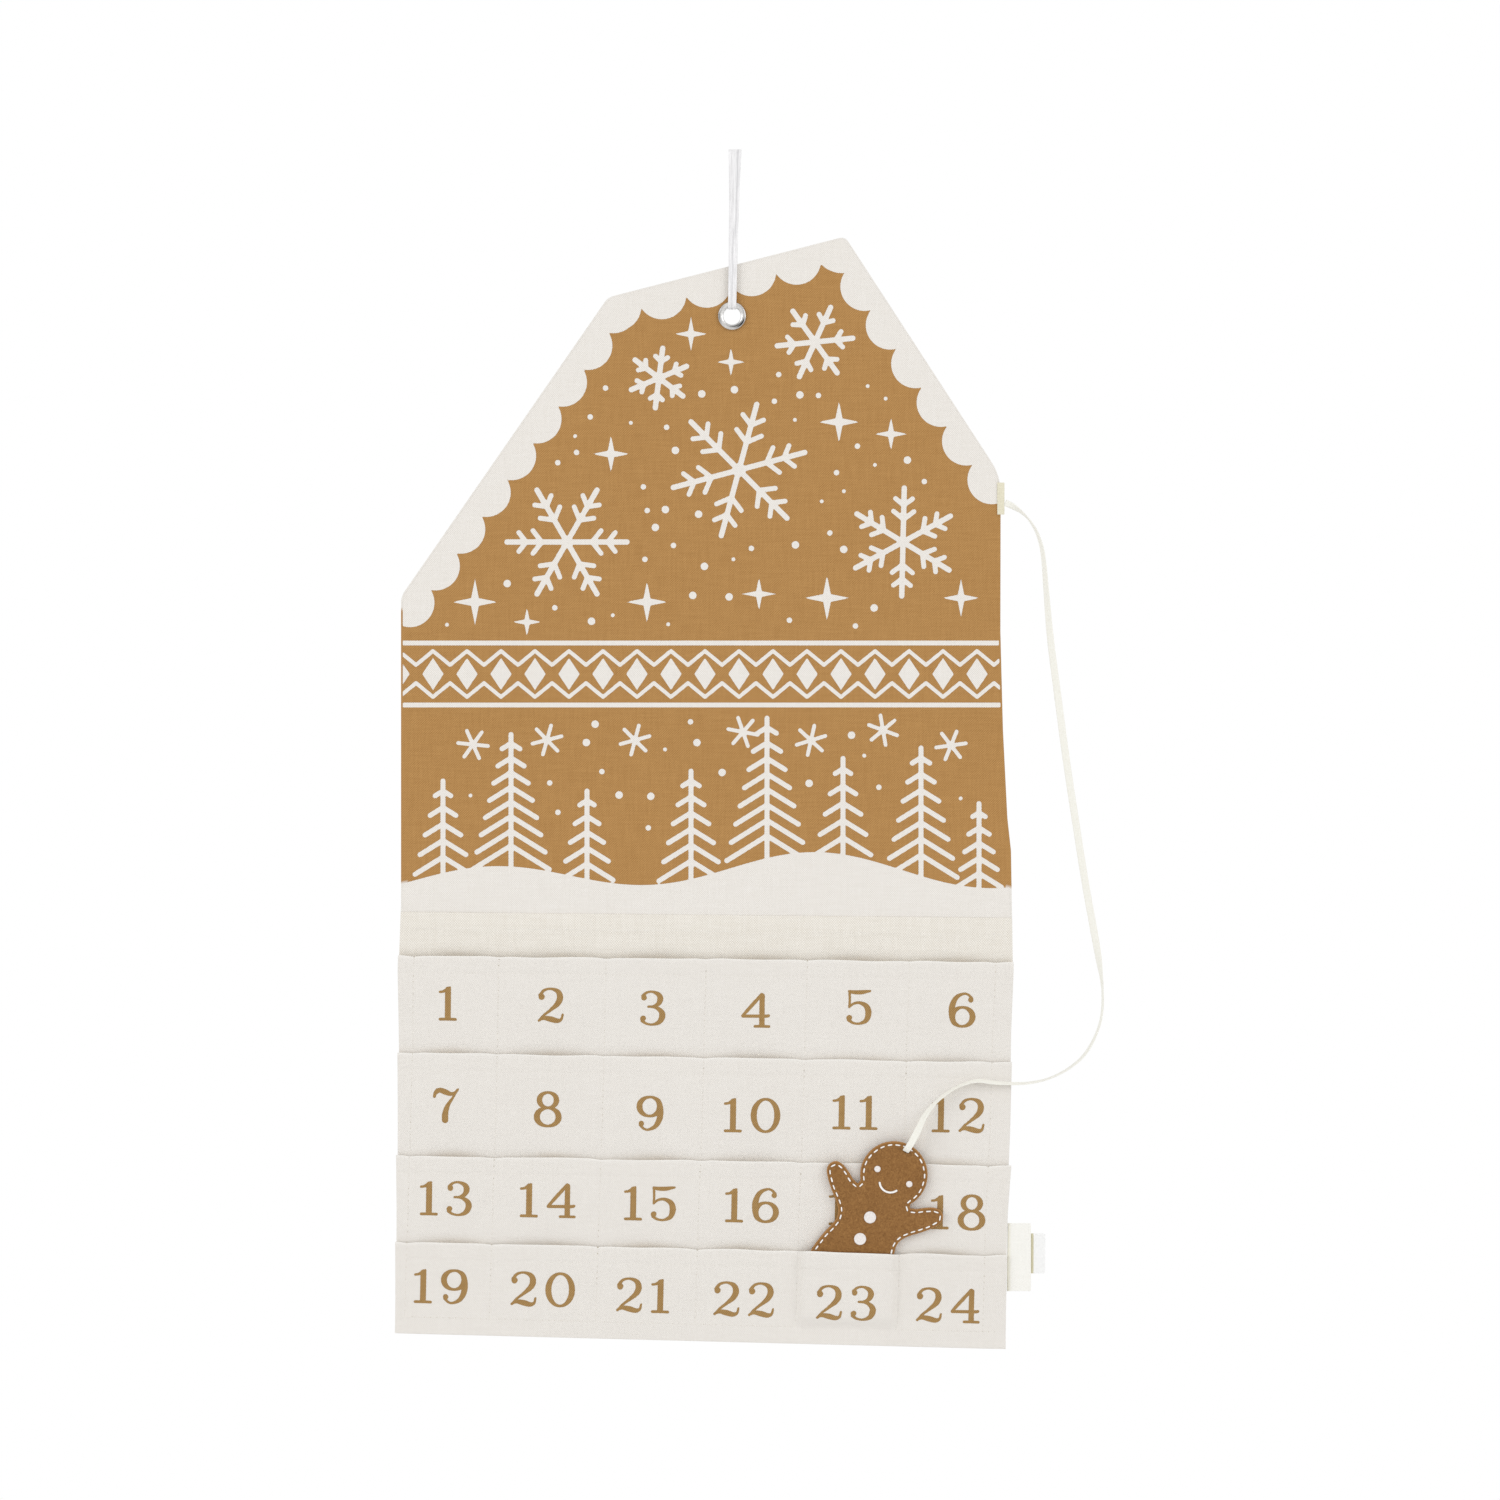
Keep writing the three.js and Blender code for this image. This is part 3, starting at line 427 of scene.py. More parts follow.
# %% Panel measures, in millimetres
PANEL_WIDTH = 306.0
PANEL_HEIGHT = 548.0
LEFT_REACH = 169.0
BOTTOM_Z = -591.5
LEFT_EDGE = np.array([(0, -0.0033), (0.11, 0), (0.26, 0.0033), (0.33, 0.0023), (0.39, 0.0065), (1, 0.0065)])
RIGHT_EDGE = np.array([
    (0, -0.0055), (0.11, -0.0033), (0.185, 0.0016), (0.275, 0.0033), (0.33, 0.0065),
    (0.44, 0.0033), (0.47, -0.0026), (0.55, -0.0098), (0.64, -0.014), (1, -0.013),
])
MOUTH_TOPS = BOTTOM_Z + np.array([189.0, 140.5, 89.0, 46.0])
MOUTH_FALLS = PANEL_WIDTH * np.array([0.0115, 0.0164, 0.0164, 0.023])
BAND_TOP = MOUTH_TOPS[0] + 21.5
SEAMS = np.array([0.025, 0.1636, 0.338, 0.501, 0.6656, 0.832, 0.972])
LEAN = 0.016
BOTTOM_FALL = 0.026
BAND_FALL = 0.0098
UNDERLAP = 10.0
CLOTH = 0.6
GAP = 0.3
PINCH = CLOTH + GAP
EDGE_ROUND = 0.9
HEM_DEPTH = 8.5
BAND_STITCH = 8.0
BOTTOM_STITCH = 8.5
print("panel", PANEL_WIDTH, "by", PANEL_HEIGHT, "mm")


def left_edge_x(z):
    share = (z - BOTTOM_Z) / PANEL_HEIGHT
    return -LEFT_REACH + PANEL_WIDTH * np.interp(share, LEFT_EDGE[:, 0], LEFT_EDGE[:, 1])


def right_edge_x(z):
    share = (z - BOTTOM_Z) / PANEL_HEIGHT
    return PANEL_WIDTH - LEFT_REACH + PANEL_WIDTH * np.interp(share, RIGHT_EDGE[:, 0], RIGHT_EDGE[:, 1])


def between_edges(share, z):
    left = left_edge_x(z)
    return left + (right_edge_x(z) - left) * share


def bottom_line(share):
    return BOTTOM_Z - BOTTOM_FALL * PANEL_WIDTH * share


def band_line(share):
    return BAND_TOP - BAND_FALL * PANEL_WIDTH * share


def mouth_line(row, share):
    return MOUTH_TOPS[row] - MOUTH_FALLS[row] * share


def leaned(z):
    """How far the seams have moved to the left at a height, from the first mouth down."""
    return LEAN * np.maximum(MOUTH_TOPS[0] - z, 0)


def cloth_x(share, z):
    """Between the two side edges at that share, less the lean of the seams going down."""
    inner = np.minimum(np.minimum(share / SEAMS[0], (1 - share) / (1 - SEAMS[-1])), 1)
    return between_edges(share, z) - leaned(z) * inner


def share_at(x, z):
    """The share of the width at a place between the first seam and the last."""
    left = left_edge_x(z)
    return (x + leaned(z) - left) / (right_edge_x(z) - left)


def seam_distance(share):
    return np.abs(share[..., None] - SEAMS).min(-1) * PANEL_WIDTH


# %% [markdown]
# ## The hanging ribbon
# A narrow satin ribbon goes up in front, over its hook and down behind, and both strands pass
# through the eyelet, where the ribbon bunches into folds. Its section is a flat strip with a
# few lengthwise folds, carried along the loop; the ends meet out of sight inside the eyelet.

# %% Sweep helper


def sweep(path, sections, across, widths=1.0):
    """Points of a closed tube: at each point of the path its section (sideways, outwards) is
    laid out along the across direction and along path direction x across."""
    along = unit(np.gradient(path, axis=0))
    side = unit(across - along * np.sum(across * along, axis=1, keepdims=True))
    out = np.cross(along, side)
    sections = np.broadcast_to(sections, (len(path), *sections.shape[-2:]))
    sideways = sections[..., :1] * np.reshape(widths, (-1, 1, 1))
    return path[:, None] + sideways * side[:, None] + sections[..., 1:] * out[:, None]


def capped_tube(rings):
    """Flat list of points and quads of rings of points, with a fan of quads closing each end."""
    count, size = rings.shape[:2]
    index = ring_index(count, size)
    faces = grid_quads(index).tolist()
    faces.append(list(range(size))[::-1])
    faces.append([(count - 1) * size + k for k in range(size)])
    return rings.reshape(-1, 3), faces


def smooth_path(knots, count):
    """A Catmull-Rom curve through the knots: cubic pieces whose slope at each knot is half the
    step between its neighbours. Sampled at even steps of length."""
    knots = np.asarray(knots, float)
    padded = np.concatenate([2 * knots[:1] - knots[1:2], knots, 2 * knots[-1:] - knots[-2:-1]])
    t = np.linspace(0, len(knots) - 1, 40 * len(knots))
    i = np.minimum(t.astype(int), len(knots) - 2)
    f = (t - i)[:, None]
    p0, p1, p2, p3 = padded[i], padded[i + 1], padded[i + 2], padded[i + 3]
    fine = 0.5 * (
        2 * p1
        + (p2 - p0) * f
        + (2 * p0 - 5 * p1 + 4 * p2 - p3) * f**2
        + (3 * p1 - p0 - 3 * p2 + p3) * f**3
    )
    steps = lengths_along(fine)
    return rows_at(np.linspace(0, steps[-1], count), steps, fine)


# %% Ribbon
EYELET_X, EYELET_Z = -1.5, -83.0
EYELET_RADIUS = 7.15
HOLE_RADIUS = 4.35
RIBBON_WIDTH = 6.5
RIBBON_FOLDED = 4.1
RIBBON_THICKNESS = 0.26
RIBBON_POINTS = 15
RIBBON_FRONT = -2.05
RIBBON_BACK = 2.9
RIBBON_DROP = 76
FOLD_RADIUS = 1.7
FOLD_TOP = 0.2
# How dark the painted crease shade on the ribbon is.
CREASE_SHADE_STRENGTH = 0.55

fold_angle = np.linspace(0, np.pi, 13)
fold = np.stack([-FOLD_RADIUS * np.cos(fold_angle), FOLD_TOP - FOLD_RADIUS * (1 - np.sin(fold_angle))], -1)
ribbon_knots = np.concatenate([
    [(0.2, -79.6), (-0.9, -79.3), (-1.85, -78.2), (-2.1, -75.8), (RIBBON_FRONT, -70)],
    [(RIBBON_FRONT, -50), (RIBBON_FRONT, -30), (RIBBON_FRONT + 0.1, -12), (-1.9, -5)],
    fold,
    [(2.1, -5), (2.6, -12), (RIBBON_BACK, -30), (RIBBON_BACK, -50), (RIBBON_BACK, -70)],
    [(2.95, -75.8), (2.7, -78.0), (1.9, -79.2), (0.9, -79.55)],
])
ribbon_x = EYELET_X * np.clip(ribbon_knots[:, 1] / EYELET_Z, 0, 1)
ribbon_path = smooth_path(np.column_stack([ribbon_x, ribbon_knots]), 260)


def strip_section(points_across, thickness, fold):
    """A closed strip, one unit wide: its two faces lie half a thickness off a middle line that
    rises in the middle of the strip and dips in two grooves, as the fold depth times a cosine."""
    u = np.linspace(-1, 1, points_across)
    middle = -fold * np.cos(3 * np.pi * u) * (1 - 0.25 * u * u)
    near = thickness / 2 * np.sqrt(np.clip(1 - u**8, 0.02, 1))
    front = np.stack([u / 2, middle - near], -1)
    back = np.stack([u / 2, middle + near], -1)[::-1]
    return np.concatenate([front, back])


down = np.clip(-ribbon_path[:, 2] / RIBBON_DROP, 0, 1)[:, None]
flat_strip, folded_strip = (strip_section(RIBBON_POINTS, RIBBON_THICKNESS, depth) for depth in (0.02, 0.14))
gathered = smooth_step(down * 3)[..., None]
ribbon_widths = RIBBON_FOLDED + (RIBBON_WIDTH - RIBBON_FOLDED) * np.exp(-3 * down)
ribbon_rings = sweep(ribbon_path, flat_strip * (1 - gathered) + folded_strip * gathered,
                     np.array([1.0, 0, 0]), ribbon_widths)

satin = Recipe("satin_ribbon", roughness=0.32, specular=0.5, sheen=0.1)
satin_thread = satin.noise(2600, 2, stretch=(1, 1, 0.04))
satin_colour = satin.mottled(satin_thread, 0.35, 0.65, linear(221, 220, 221), linear(243, 242, 243))
# Painted shade: the satin goes grey along its creases, where the points are marked crease.
satin.colour(satin.mix(satin.mark("crease"), satin_colour, linear(150, 150, 154)))
satin.shader.inputs["Anisotropic"].default_value = 0.4
satin.bump(satin_thread, 0.00005, 0.5)

ribbon = add_piece("ribbon_loop", *capped_tube(ribbon_rings), "ribbon", satin.material, "hanging_ribbon")
across_ribbon = np.concatenate([np.linspace(-1, 1, RIBBON_POINTS), np.full(RIBBON_POINTS, 9.0)])
# Painted crease shade: one line on the upper run and one on the lower.
upper = bell(across_ribbon - 0.5, 0.09) * smooth_step((0.62 - down) * 6)
lower = bell(across_ribbon + 0.07, 0.09) * smooth_step((down - 0.5) * 6)
mark_points(ribbon, "crease", (CREASE_SHADE_STRENGTH * (upper + lower)).ravel())

# %% [markdown]
# ## The tether tape
# A narrow woven tape is sewn into the right-hand seam, springs out in a wide bow and ends in a
# slit in the figure's head. It lies flat to the front for most of its way and turns edge-on
# where it bends hard. A flat section is carried along the route, turned by that twist.

# %% Tape
TAPE_ROUTE = np.array([
    (134.9, -0.6, -176.3), (138.5, -0.6, -178), (143, -0.7, -181), (147, -0.8, -185),
    (150.7, -1, -191), (153.2, -1.2, -198.5), (154.5, -1.4, -207.5), (155.5, -1.6, -220),
    (157.7, -2, -245), (161.5, -2.4, -275), (165.5, -2.8, -305), (170, -3.2, -335),
    (174.7, -3.5, -365), (178.7, -3.8, -387.5), (181.7, -4, -405), (183.5, -4.1, -420),
    (183, -4.2, -432.5), (180, -4.3, -442.5), (174.5, -4.3, -452), (166.5, -4.3, -459),
    (156.5, -4.3, -464), (146.5, -4.3, -466.2), (138, -4.3, -466.5), (129, -4.4, -466),
    (120.8, -4.7, -465.1), (113.2, -5.1, -467.2), (106.5, -5.6, -470.7), (99.8, -6.2, -476.1),
    (94.6, -6.9, -482.6), (91.2, -7.6, -489.6), (88.4, -8.1, -495), (86.3, -7.9, -498.4),
    (85.3, -7, -499.8), (85.1, -6, -500.2), (85.1, -5.2, -500.3),
])
TAPE_WIDTH = 3.8
TAPE_THICKNESS = 0.5
tape_path = smooth_path(TAPE_ROUTE, 420)
tape_steps = lengths_along(tape_path)

# Where along the tape, in millimetres, it turns, and by how many degrees out of the front plane.
TWIST = np.array([
    (0, 0), (4.5, 30), (9, 66), (14, 82), (22, 69), (30, 60), (50, 45), (77, 25), (110, 15), (225, 15),
    (238, 36), (246, 65), (253, 79), (277, 77), (285, 72), (308, 82), (326, 72), (338, 61), (346, 63),
    (356, 76), (369, 68), (377, 50), (384, 33), (391, 12), (420, 5),
])
# Where along the tape, in millimetres, and its width there as a share of its full width.
WIDTH_SHARES = np.array([(0, 0.85), (30, 0.95), (80, 0.97), (388, 0.97), (396, 0.88), (430, 0.84)])
along = unit(np.gradient(tape_path, axis=0))
in_plane = unit(np.cross(along, [0, 1.0, 0]))
twist = np.radians(np.interp(tape_steps, *TWIST.T))[:, None]
tape_across = in_plane * np.cos(twist) + np.cross(along, in_plane) * np.sin(twist)
tape_rings = sweep(tape_path, strip_section(13, TAPE_THICKNESS, 0.0), tape_across,
                   TAPE_WIDTH * np.interp(tape_steps, *WIDTH_SHARES.T))

tape_finish = Recipe("woven_tape", roughness=0.6, specular=0.3, sheen=0.15)
tape_thread = tape_finish.noise(1500, 2)
tape_finish.colour(tape_finish.mottled(tape_thread, 0.3, 0.7, linear(236, 234, 224), linear(243, 242, 235)))
tape_finish.bump(tape_thread, 0.00005, 0.4)
tape = add_piece("tape_bow", *capped_tube(tape_rings), None, tape_finish.material, "tether_tape")
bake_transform(tape)

# %% [markdown]
# ## The gabled cloths
# Two cloths are cut to the same gabled outline, sewn face to face round the edge and turned, so
# the edge is soft and round with no thread to be seen. The front one is printed. Each is a fan
# of columns that run from a lower line up to the outline, with the edge distance measured
# square to the outline, so that the thickness falls away evenly round the corners.

# %% Gable outline
LEFT_EAVE_SHARE = 0.672
BEND_SHARES = 0.345, 0.945
PEAK_SHARE = 0.74
PEAK_RISE = 0.25
RIGHT_EAVE_SHARE = 0.782
CORNER_RADII = (3.2, 3.2, 3.2, 8.5)
CORNER_STEPS = 9
MEAN_DROP = 250
HOLE_CUT = 4.95


def gable_outline():
    """The top edge from left to right: straight runs between four corners, each rounded by a
    quadratic curve that leaves and meets the runs one radius from the corner."""
    left, right = left_edge_x(0.0), right_edge_x(0.0)
    span = right - left
    path = np.array([
        (left, BOTTOM_Z),
        (left, BOTTOM_Z + PANEL_HEIGHT * LEFT_EAVE_SHARE),
        (left + span * BEND_SHARES[0], BOTTOM_Z + PANEL_HEIGHT * BEND_SHARES[1]),
        (left + span * PEAK_SHARE, BOTTOM_Z + PANEL_HEIGHT + PEAK_RISE),
        (right, BOTTOM_Z + PANEL_HEIGHT * RIGHT_EAVE_SHARE),
        (right, BOTTOM_Z),
    ])
    t = np.linspace(0, 1, CORNER_STEPS)[:, None]
    bends = []
    for before, corner, after, radius in zip(path[:-2], path[1:-1], path[2:], CORNER_RADII):
        start = corner + unit(before - corner) * radius
        end = corner + unit(after - corner) * radius
        bends.append((1 - t) ** 2 * start + 2 * t * (1 - t) * corner + t**2 * end)
    return np.concatenate(bends)


OUTLINE = gable_outline()


def outline_share(x):
    return (x - OUTLINE[0, 0]) / (OUTLINE[-1, 0] - OUTLINE[0, 0])


def top_line(share):
    return np.interp(share, outline_share(OUTLINE[:, 0]), OUTLINE[:, 1])


def outline_distance(x, z):
    """The shortest distance to the gable outline and the two side edges."""
    nearest = np.minimum(x - left_edge_x(z), right_edge_x(z) - x)
    for start, end in zip(OUTLINE[:-1], OUTLINE[1:]):
        step = end - start
        length = np.linalg.norm(step)
        t = np.clip(((x - start[0]) * step[0] + (z - start[1]) * step[1]) / length**2, 0, 1)
        nearest = np.minimum(nearest, np.hypot(x - start[0] - t * step[0], z - start[1] - t * step[1]))
    return np.maximum(nearest, 0)


def front_face(x, z):
    """The front of the printed cloth: nearly flat, with a faint unevenness."""
    return 0.12 * ripple(x, z, 90, 3)


def no_border(distance):
    """The border of a grid of edge distances set to nothing."""
    distance[[0, -1]] = 0
    distance[:, [0, -1]] = 0
    return distance


def gabled_cloth(lower_line, face, columns, rows):
    """A cloth from its lower line up to the outline, on a grid of shares across and up."""
    shares = np.union1d(with_edges(0, 1, columns, EDGE_ROUND / PANEL_WIDTH), outline_share(OUTLINE[:, 0]))
    share, rise = np.meshgrid(shares, with_edges(0, 1, rows, EDGE_ROUND / MEAN_DROP))
    low, top = lower_line(share), top_line(share)
    z = low + (top - low) * rise
    x = between_edges(share, z)
    distance = no_border(np.minimum(outline_distance(x, z), z - low))
    return cloth_shell(x, face(x, z), z, distance, CLOTH, EDGE_ROUND)


def round_eyelet(radius, y, count):
    """A circle about the eyelet's axis."""
    turn = np.linspace(0, 2 * np.pi, count, endpoint=False)
    return np.stack([EYELET_X + radius * np.cos(turn), y + 0 * turn, EYELET_Z + radius * np.sin(turn)], -1)


def cut_hole(piece, sides=64):
    """Takes a round rod at the eyelet out of a closed cloth."""
    mesh = make_mesh("rod", *capped_tube(np.stack([round_eyelet(HOLE_CUT, y, sides) for y in (-9, 9)])))
    rod = bpy.data.objects.new("rod", mesh)
    scene.collection.objects.link(rod)
    cut = piece.modifiers.new("cut", "BOOLEAN")
    cut.operation, cut.object, cut.solver = "DIFFERENCE", rod, "EXACT"
    bpy.context.view_layer.update()
    whole = piece.data
    piece.data = bpy.data.meshes.new_from_object(piece.evaluated_get(bpy.context.evaluated_depsgraph_get()))
    piece.modifiers.clear()
    bpy.data.objects.remove(rod)
    bpy.data.meshes.remove(whole)
    bpy.data.meshes.remove(mesh)
    piece.data.polygons.foreach_set("use_smooth", np.full(len(piece.data.polygons), True))
    print(piece.name, "after the hole", len(piece.data.vertices), "points")


# %% Printed front cloth
LAP = 2.5
BARE_RIM = 3.5
ROOF_SHARES = 0.66, 0.772


def bank_height(x):
    """The top of the printed bank of snow: two sine waves, a long one and a longer one."""
    return -362 + 7 * np.sin(x / 26) + 4 * np.sin(x / 61 + 1.1)


def print_foot(share):
    return band_line(share) - LAP


front_cloth = add_piece("printed_cloth", *gabled_cloth(print_foot, front_face, 110, 110), "panel",
                        printed_canvas, "front_canvas")
cut_hole(front_cloth)
front_x, _, front_z = points_of(front_cloth).T
near_roof = front_z > BOTTOM_Z + PANEL_HEIGHT * np.where(front_x < 0, *ROOF_SHARES)
mark_points(front_cloth, "bare_and_painted_light", (outline_distance(front_x, front_z) < BARE_RIM)
            & (near_roof | (front_z < bank_height(front_x) + 0.5)))

# %% Lining
LINING_BEHIND = 0.5
LINING_CREASE_SHARE = 0.64


def lining_face(x, z):
    """The lining hangs a little behind the front cloth and is drawn in at the gable."""
    crease = BOTTOM_Z + PANEL_HEIGHT * LINING_CREASE_SHARE
    pulled = 0.2 * np.clip((z - crease) / (BOTTOM_Z + PANEL_HEIGHT - crease), 0, 1)
    return CLOTH + LINING_BEHIND - pulled + 0.12 * ripple(x, z, 110, 5)


lining = add_piece("lining_cloth", *gabled_cloth(bottom_line, lining_face, 90, 150), "panel",
                   canvas, "back_canvas")
cut_hole(lining)

# %% [markdown]
# ## The coarse cloth behind the pockets
# It starts at the foot of the printed cloth, whose edge it covers with a turned fold, and runs
# down behind all four rows. Only the fold and a hand's breadth of it show.

# %% Backing cloth
BACKING_DEPTH = 205
share, rise = np.meshgrid(with_edges(0, 1, 120, EDGE_ROUND / PANEL_WIDTH),
                          with_edges(0, 1, 110, EDGE_ROUND / BACKING_DEPTH))
low, top = bottom_line(share), band_line(share)
z = low + (top - low) * rise
x = between_edges(share, z)
from_top = top - z
lift = 0.62 * smooth_step(1 - (from_top - BAND_STITCH) / 3.5)
pull = 0.2 * bell(from_top - BAND_STITCH, 1.1)
face = 0.1 * ripple(x, z, 60, 7) - lift + pull + 0.4 * bell(np.maximum(z - mouth_line(0, share), 0), 3.2)
distance = nearest_side(x, z, left_edge_x(z), right_edge_x(z), low, top)
backing = add_piece("backing_cloth", *cloth_shell(x, face, z, distance, CLOTH, EDGE_ROUND), "panel",
                    coarse_canvas, "pocket_backing")

# %% [markdown]
# ## The pocket strips
# Four strips of finer cloth are sewn on one over the foot of the other, and seams divide each
# into six pockets. A strip steps out over the foot of the strip above, stands open a little
# between the seams, is pulled in along them, and swells over the figure in its pocket.

# %% Pocket strips
GAPES = np.array([
    (0.6, 0.35, 0.8, 0.45, 0.7, 0.4),
    (0.5, 0.9, 0.4, 0.75, 0.3, 0.6),
    (0.8, 0.45, 0.65, 0.9, 0.3, 0.35),
    (0.55, 0.85, 0.5, 0.7, 0, 0.6),
])
MOUTH_GAPE = 1.9
FLARES = np.array([(0.4, 0.3), (0.7, 0.55), (0.75, 1.3), (0.6, 0.25)])
SWELL_END = 0.308
POCKET_WIDTH = 50.8
SWELL_ACROSS, SWELL_UP = 4.5, 7.0
FULL_LAP = 0.76
MARKER_MOUTH = -550.77
MARKER_LEAN = 0.04
MARKER_STAND_OFF = 1.75
TRIM_OFFSET = 2.6
TRIM_ROOM = 0.55
STRIP_ROUND = 0.7
STITCH_ROWS = np.array([7.3, 7.7, 8.1, 8.5, 8.9, 9.3])


def strip_foot(row, share):
    return bottom_line(share) if row == 3 else mouth_line(row + 1, share) - UNDERLAP


def pocket_at(share):
    """Which pocket a share of the width falls in, and how far across it."""
    column = np.clip(np.searchsorted(SEAMS, share, side="right") - 1, 0, 5)
    across = (share - SEAMS[column]) / (SEAMS[column + 1] - SEAMS[column])
    inside = (share >= SEAMS[0]) & (share <= SEAMS[-1])
    return column, np.where(inside, across, 0)


def across_bulge(across):
    """Nothing at a pocket's seams and 1 in its middle: a squared sine."""
    return np.sin(np.pi * np.clip(across, 0, 1)) ** 2


def mouth_shade(row, share, z):
    """The shade on the cloth just above a mouth, deepest in the middle of each pocket."""
    above = np.maximum(z - mouth_line(row, share), 0)
    return (0.15 + 0.35 * across_bulge(pocket_at(share)[1])) * bell(above, 2.4)


def strip_face(row, share, z):
    """The front of a strip: its rest position, the gape (a bulge across each pocket that grows
    with the square of the height), the push of the figure, the seams' pull, the step at the hem
    and the way it draws back just above the mouth in front of it."""
    low, top = strip_foot(row, share), mouth_line(row, share)
    rise = np.clip((z - low) / (top - low), 0, 1)
    column, across = pocket_at(share)
    lap = smooth_step((rise - SWELL_END) / (FULL_LAP - SWELL_END))
    back = -GAP - PINCH * lap - MOUTH_GAPE * (GAPES[row][column] * across_bulge(across)) * rise**2
    if row == 3:
        from_seam = np.minimum(across, 1 - across) * POCKET_WIDTH / SWELL_ACROSS
        from_foot = (z - low - BOTTOM_STITCH) / SWELL_UP
        push = np.sin(np.pi / 2 * np.clip(from_seam, 0, 1)) * np.sin(np.pi / 2 * np.clip(from_foot, 0, 1))
        push = np.where(column == 4, push, 0)
        over_marker = -MARKER_STAND_OFF - MARKER_LEAN * (z - MARKER_MOUTH) - TRIM_OFFSET - TRIM_ROOM
        back = back + (over_marker - back) * push
    pull = 0.07 * bell(seam_distance(share), 1.3)
    hem = 0.16 * smooth_step((z - (top - HEM_DEPTH)) / 1.6)
    stitch_pull = 0.05 * bell(z - top + HEM_DEPTH, 0.8)
    tuck = 0.3 * bell(np.maximum(z - mouth_line(row + 1, share), 0), 3.8) if row < 3 else 0
    uneven = 0.07 * ripple(share * PANEL_WIDTH, z, 26, 11 + row)
    return back - CLOTH + pull - hem + stitch_pull + tuck + uneven


def pocket_strip(row):
    """One strip on a grid that is finer along its edges, its seams and its hem's stitches. Its
    mouth wavers and dips at the seams, and its two ends step out a little towards the mouth."""
    beside_seams = (SEAMS[:, None] + np.linspace(-3, 3, 7) / PANEL_WIDTH).ravel()
    shares = np.union1d(with_edges(0, 1, 200, 0.8 / PANEL_WIDTH), beside_seams)
    depth = float(mouth_line(row, 0.5) - strip_foot(row, 0.5))
    rises = np.union1d(with_edges(0, 1, 40, 0.8 / depth), 1 - STITCH_ROWS / depth)
    share, rise = np.meshgrid(shares, rises)
    low, top = strip_foot(row, share), mouth_line(row, share)
    waver = 0.35 * ripple(share * PANEL_WIDTH, 0 * share, 40, 21 + row)
    waver = waver - 0.45 * bell(seam_distance(share), 3.5)
    z = low + (top + waver * rise**3 - low) * rise
    x = cloth_x(share, z)
    face = strip_face(row, share, z)
    distance = nearest_side(x, z, left_edge_x(z), right_edge_x(z), low, top + waver)
    to_left = np.clip(1 - share / SEAMS[0], 0, 1)
    to_right = np.clip((share - SEAMS[-1]) / (1 - SEAMS[-1]), 0, 1)
    x = x + (FLARES[row, 1] * to_right - FLARES[row, 0] * to_left) * rise**2
    distance = no_border(np.maximum(distance, 0))
    points, faces = cloth_shell(x, face, z, distance, CLOTH + 0.05, STRIP_ROUND)
    strip = add_piece(f"pocket_strip_{row + 1}", points, faces, "panel", pocket_canvas,
                      f"pocket_row_{row + 1}")
    # A painted highlight along each mouth's top edge, fading out within a millimetre below it.
    painted_lip_highlight = 0.7 * bell((top + waver - z).ravel(), 0.8)
    rear = np.zeros(len(points) - len(painted_lip_highlight))
    mark_points(strip, "bare_and_painted_light", np.concatenate([painted_lip_highlight, rear]))
    if row < 3:
        mark_points(strip, "shade", np.concatenate([mouth_shade(row + 1, share, z).ravel(), rear]))
    return strip


strips = [pocket_strip(row) for row in range(4)]
edge_x, edge_y, edge_z = points_of(backing).T
mark_points(backing, "shade", mouth_shade(0, share_at(edge_x, edge_z), edge_z) * (edge_y < 0.6))

# %% [markdown]
# ## The eyelet
# A nickel-plated eyelet goes through both cloths: a barrel, rolled over in front into a rounded
# flange that catches the light, and a washer behind. Each is a profile turned about its axis.

# %% Eyelet


def turned_ring(name, profile, stands_for, count=96):
    """A closed profile of (radius, y) pairs turned about the eyelet's axis."""
    radius, y = np.array(profile).T
    turn = np.linspace(0, 2 * np.pi, count, endpoint=False)[:, None]
    points = np.stack([EYELET_X + radius * np.cos(turn), y + 0 * turn, EYELET_Z + radius * np.sin(turn)], -1)
    index = ring_index(count, len(profile))
    faces = grid_quads(np.concatenate([index, index[:1]]))
    return add_piece(name, points.reshape(-1, 3), faces, "panel", nickel.material, stands_for)


nickel = Recipe("nickel", roughness=0.22, metallic=1.0, specular=0.5)
plating = nickel.mottled(nickel.noise(1200, 2), 0.3, 0.8, linear(196, 194, 192), linear(232, 231, 229))
# The plated colour goes near black where a painted reflection is marked.
nickel.colour(nickel.mix(nickel.mark("painted_reflection"), plating, linear(22, 21, 20)))

# The painted dark reflections on the plated rings: middle and reach in degrees, depth, and distance from the
# axis.
PAINTED_REFLECTIONS = ((-38, 30, 1.4, 6.2), (-70, 42, 0.9, 5.35), (25, 24, 0.6, 6.4), (178, 34, 0.9, 6.45))


def paint_reflections(piece):
    """Marks where a plated ring would mirror a dark room: painted reflection arcs that fade out along and
    across.
    """
    x, _, z = points_of(piece).T
    radius = np.hypot(x - EYELET_X, z - EYELET_Z)
    angle = np.degrees(np.arctan2(z - EYELET_Z, x - EYELET_X))
    dark = np.zeros(len(x))
    for middle, reach, depth, place in PAINTED_REFLECTIONS:
        away = (angle - middle + 180) % 360 - 180
        dark += depth * bell(away, reach) * bell(radius - place, 0.42)
    mark_points(piece, "painted_reflection", np.clip(dark, 0, 0.95))


